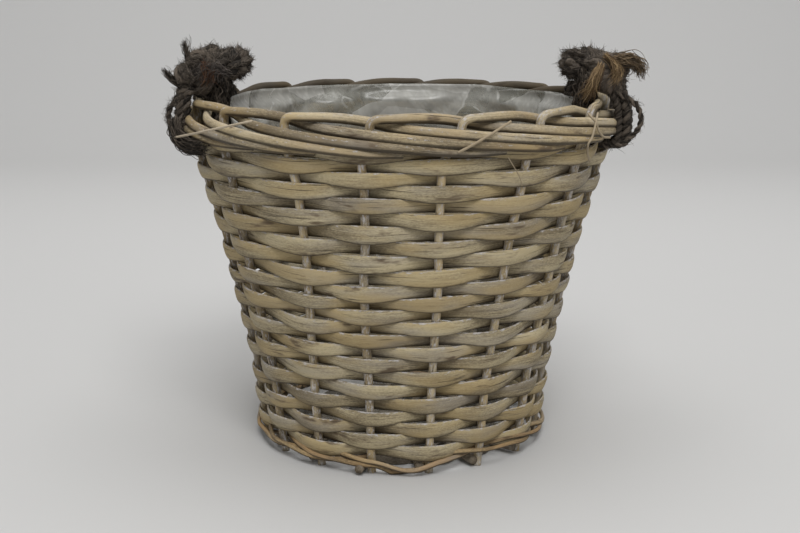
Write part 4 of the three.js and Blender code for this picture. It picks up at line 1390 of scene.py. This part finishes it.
for side, label in SIDES:
    for end, place in ENDS:
        rng = seeded(80, side + 1, end + 1)
        angle = side * (np.pi / 2 + end * HANDLE_SPREAD)
        low_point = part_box(f"{label}_{place}_lashing")[0][2] / MM + LASHING_LOW
        sideways = polar(1.0, angle + np.pi / 2, 0.0)
        cords = []
        for shift, layer in LASHING_CORDS:
            layer = (layer + rng.uniform(-0.1, 0.1)) * (LASHING_DEPTH[label] if layer > 0 else 1.0)
            path = lashing_path(angle, low_point, shift + rng.uniform(-0.5, 0.5), layer, LASHING_BULGE[label])
            cords.append(yarns_round(resampled(path, CORD_STEPS), sideways, **CORD_TWIST, rng=rng))
        if place == "front":
            path = outer_cord(angle, OUTER_CORD_OUT[label], OUTER_CORD_TOP)
            cords.append(yarns_round(resampled(path, CORD_STEPS), sideways, **THIN_CORD_TWIST, rng=rng))
        cords = np.concatenate(cords)
        thickness = np.full((len(cords), 1), CORD_THICKNESS[label])
        if place == "front":
            thickness[-THIN_CORD_TWIST["yarn_count"]:] = THIN_CORD_THICKNESS
        rings, grain, tone = yarn_skins(cords, thickness, CORD_CORNERS, rng)
        piece = make_skins(f"{label}_{place}_turns", rings, grain, tone, rope_dark)
        show_as(piece, "basket", "rope", f"{label}_{place}_lashing")
        fuzz = fuzz_on(cords, 1.3, LASHING_FUZZ[label], 5.0, rng, 0.2, 0.15)
        piece = make_skins(f"{label}_{place}_turns_fuzz", *fuzz, rope_fuzz)
        show_as(piece, "basket", "rope")
print("lashings tied")

# %% [markdown]
# ## Small things
# A raffia tie holds the border rods together in front of the right handle, a thin twig is caught
# across the left lashing, a split twig stands off the rim, and a hair of willow hangs under it.

# %% Tie the raffia and lay the twigs
TIE_AROUND = [
    [588, 113, 152.0], [592.5, 118.3, 155.5], [596.7, 123.3, 157.3], [598.3, 130, 157.6],
    [603.3, 136.7, 158.0], [610, 137.5, 158.0],
]
TIE_DOWN = [
    [598, 113, 152.0], [596.7, 118.7, 156.5], [594.2, 130, 157.6], [591.7, 138.3, 157.4],
    [588.3, 144, 156.5], [587.5, 153.3, 153.0], [590, 161.7, 150.5],
]
CAUGHT_TWIG = [[172, 138, 165.0], [199, 132.5, 162.0], [226, 126.5, 158.5], [252, 121, 155.0]]
SPLIT_TWIG = [[458, 152.5, 155.5], [470, 146.5, 156.5], [488, 136, 156.8], [511, 121.5, 154.5]]
WILLOW_HAIR = [[508, 157, 151.0], [514, 167, 151.5], [520, 178, 149.0], [522, 186, 147.0]]
THIN_STEPS, THIN_CORNERS = 40, 7


def thin_piece(name, lines, radius, seed):
    """Thin rods along smooth lines that are read from the picture."""
    rng = seeded(seed)
    paths = np.stack([spline(seen_line(line), THIN_STEPS) for line in lines])
    rings, grain, tone = yarn_skins(paths, radius, THIN_CORNERS, rng, twist=0.1)
    piece = make_skins(name, rings, grain, tone, raffia)
    show_as(piece, "basket", "stake_willow")


thin_piece("raffia_tie", [TIE_AROUND, TIE_DOWN], 0.75, 90)
thin_piece("caught_twig", [CAUGHT_TWIG], 0.8, 91)
thin_piece("split_twig", [SPLIT_TWIG], 0.85, 92)
thin_piece("willow_hair", [WILLOW_HAIR], 0.28, 93)
print("tie, twigs and hair laid")

# %% [markdown]
# ## Studio
# The basket stands on a pale seamless sheet that sweeps up behind it in a quarter circle. The sheet's colour
# is made lighter towards the back as a painted light, as in the picture. Two wide soft lamps and an even grey
# world light it from all round, so shadows are faint and soft.

# %% Floor and backdrop
SHEET_GREY = np.array([0.540, 0.536, 0.527])
SHEET_MOTTLE = 0.015
SHEET_BACK_PAINTED_LIGHT = 1.32
SHEET_HALF_WIDTH = 3500.0
SHEET_FRONT, SHEET_TURN_START, SHEET_TURN_RADIUS, SHEET_TOP = -2500.0, 1400.0, 900.0, 3200.0


def opaque(color):
    """A colour with an alpha of one."""
    return (*map(float, color), 1.0)


sweep_x = np.array([-SHEET_HALF_WIDTH, SHEET_HALF_WIDTH])
floor_turn = np.linspace(0.0, np.pi / 2, 24)
profile = np.vstack([
    [[SHEET_FRONT, 0.0]],
    np.column_stack([
        SHEET_TURN_START + SHEET_TURN_RADIUS * np.sin(floor_turn),
        SHEET_TURN_RADIUS * (1 - np.cos(floor_turn)),
    ]),
    [[SHEET_TURN_START + SHEET_TURN_RADIUS, SHEET_TOP]],
])
points = np.stack([
    np.broadcast_to(sweep_x[:, None], (2, len(profile))),
    np.broadcast_to(profile[:, 0], (2, len(profile))),
    np.broadcast_to(profile[:, 1], (2, len(profile))),
], axis=-1).reshape(-1, 3)
near = np.arange(len(profile) - 1)
quads = np.stack([near, near + len(profile), near + len(profile) + 1, near + 1], axis=-1)
paper, tree, shader = new_material("paper_sheet")
spot = wire(tree, "ShaderNodeTexCoord").outputs["Object"]
mottle = stretched_noise(tree, spot, (3.0, 3.0, 3.0), 3.0)
tone = mixed(tree, mottle, opaque((1 - SHEET_MOTTLE) * SHEET_GREY), opaque((1 + SHEET_MOTTLE) * SHEET_GREY))
depth = wire(tree, "ShaderNodeSeparateXYZ", {"Vector": spot}).outputs["Y"]
# painted light: the sheet's colour grows lighter towards the back
tone = mixed(tree, between(tree, depth, -0.2, 1.2), tone, opaque(SHEET_BACK_PAINTED_LIGHT * SHEET_GREY))
tree.links.new(tone, shader.inputs["Base Color"])
shader.inputs["Roughness"].default_value = 0.9
backdrop = make_object("backdrop", points, quads, np.zeros((0, 3), dtype=int), paper)
print("backdrop", 2 * SHEET_HALF_WIDTH * MM, "metres wide")

# %% [markdown]
# One lamp hangs above and one stands high in front. Both face the middle of the basket.

# %% Lamps and world
MIDDLE = (0.0, 0.0, 0.15)
WORLD_COLOR = (0.985, 0.99, 1.0, 1.0)
WORLD_STRENGTH = 0.37


def soft_lamp(name, place, target, size, watts):
    """A square area lamp that faces a target."""
    data = bpy.data.lights.new(name, "AREA")
    data.size = size
    data.energy = watts
    lamp = bpy.data.objects.new(name, data)
    lamp.location = place
    way = np.array(target) - np.array(place)
    level = float(np.hypot(way[0], way[1]))
    lamp.rotation_euler = (np.arctan2(level, -way[2]), 0.0, np.arctan2(way[1], way[0]) - np.pi / 2)
    bpy.context.scene.collection.objects.link(lamp)


soft_lamp("lamp_above", (0.0, 0.1, 1.9), MIDDLE, 1.6, 17.0)
soft_lamp("lamp_key", (0.2, -1.45, 1.75), MIDDLE, 0.9, 27.0)
world = bpy.data.worlds.new("studio_world")
bpy.context.scene.world = world
world.use_nodes = True
background = world.node_tree.nodes["Background"]
background.inputs["Color"].default_value = WORLD_COLOR
background.inputs["Strength"].default_value = WORLD_STRENGTH
bpy.context.scene.view_settings.view_transform = "Standard"
print("studio set")
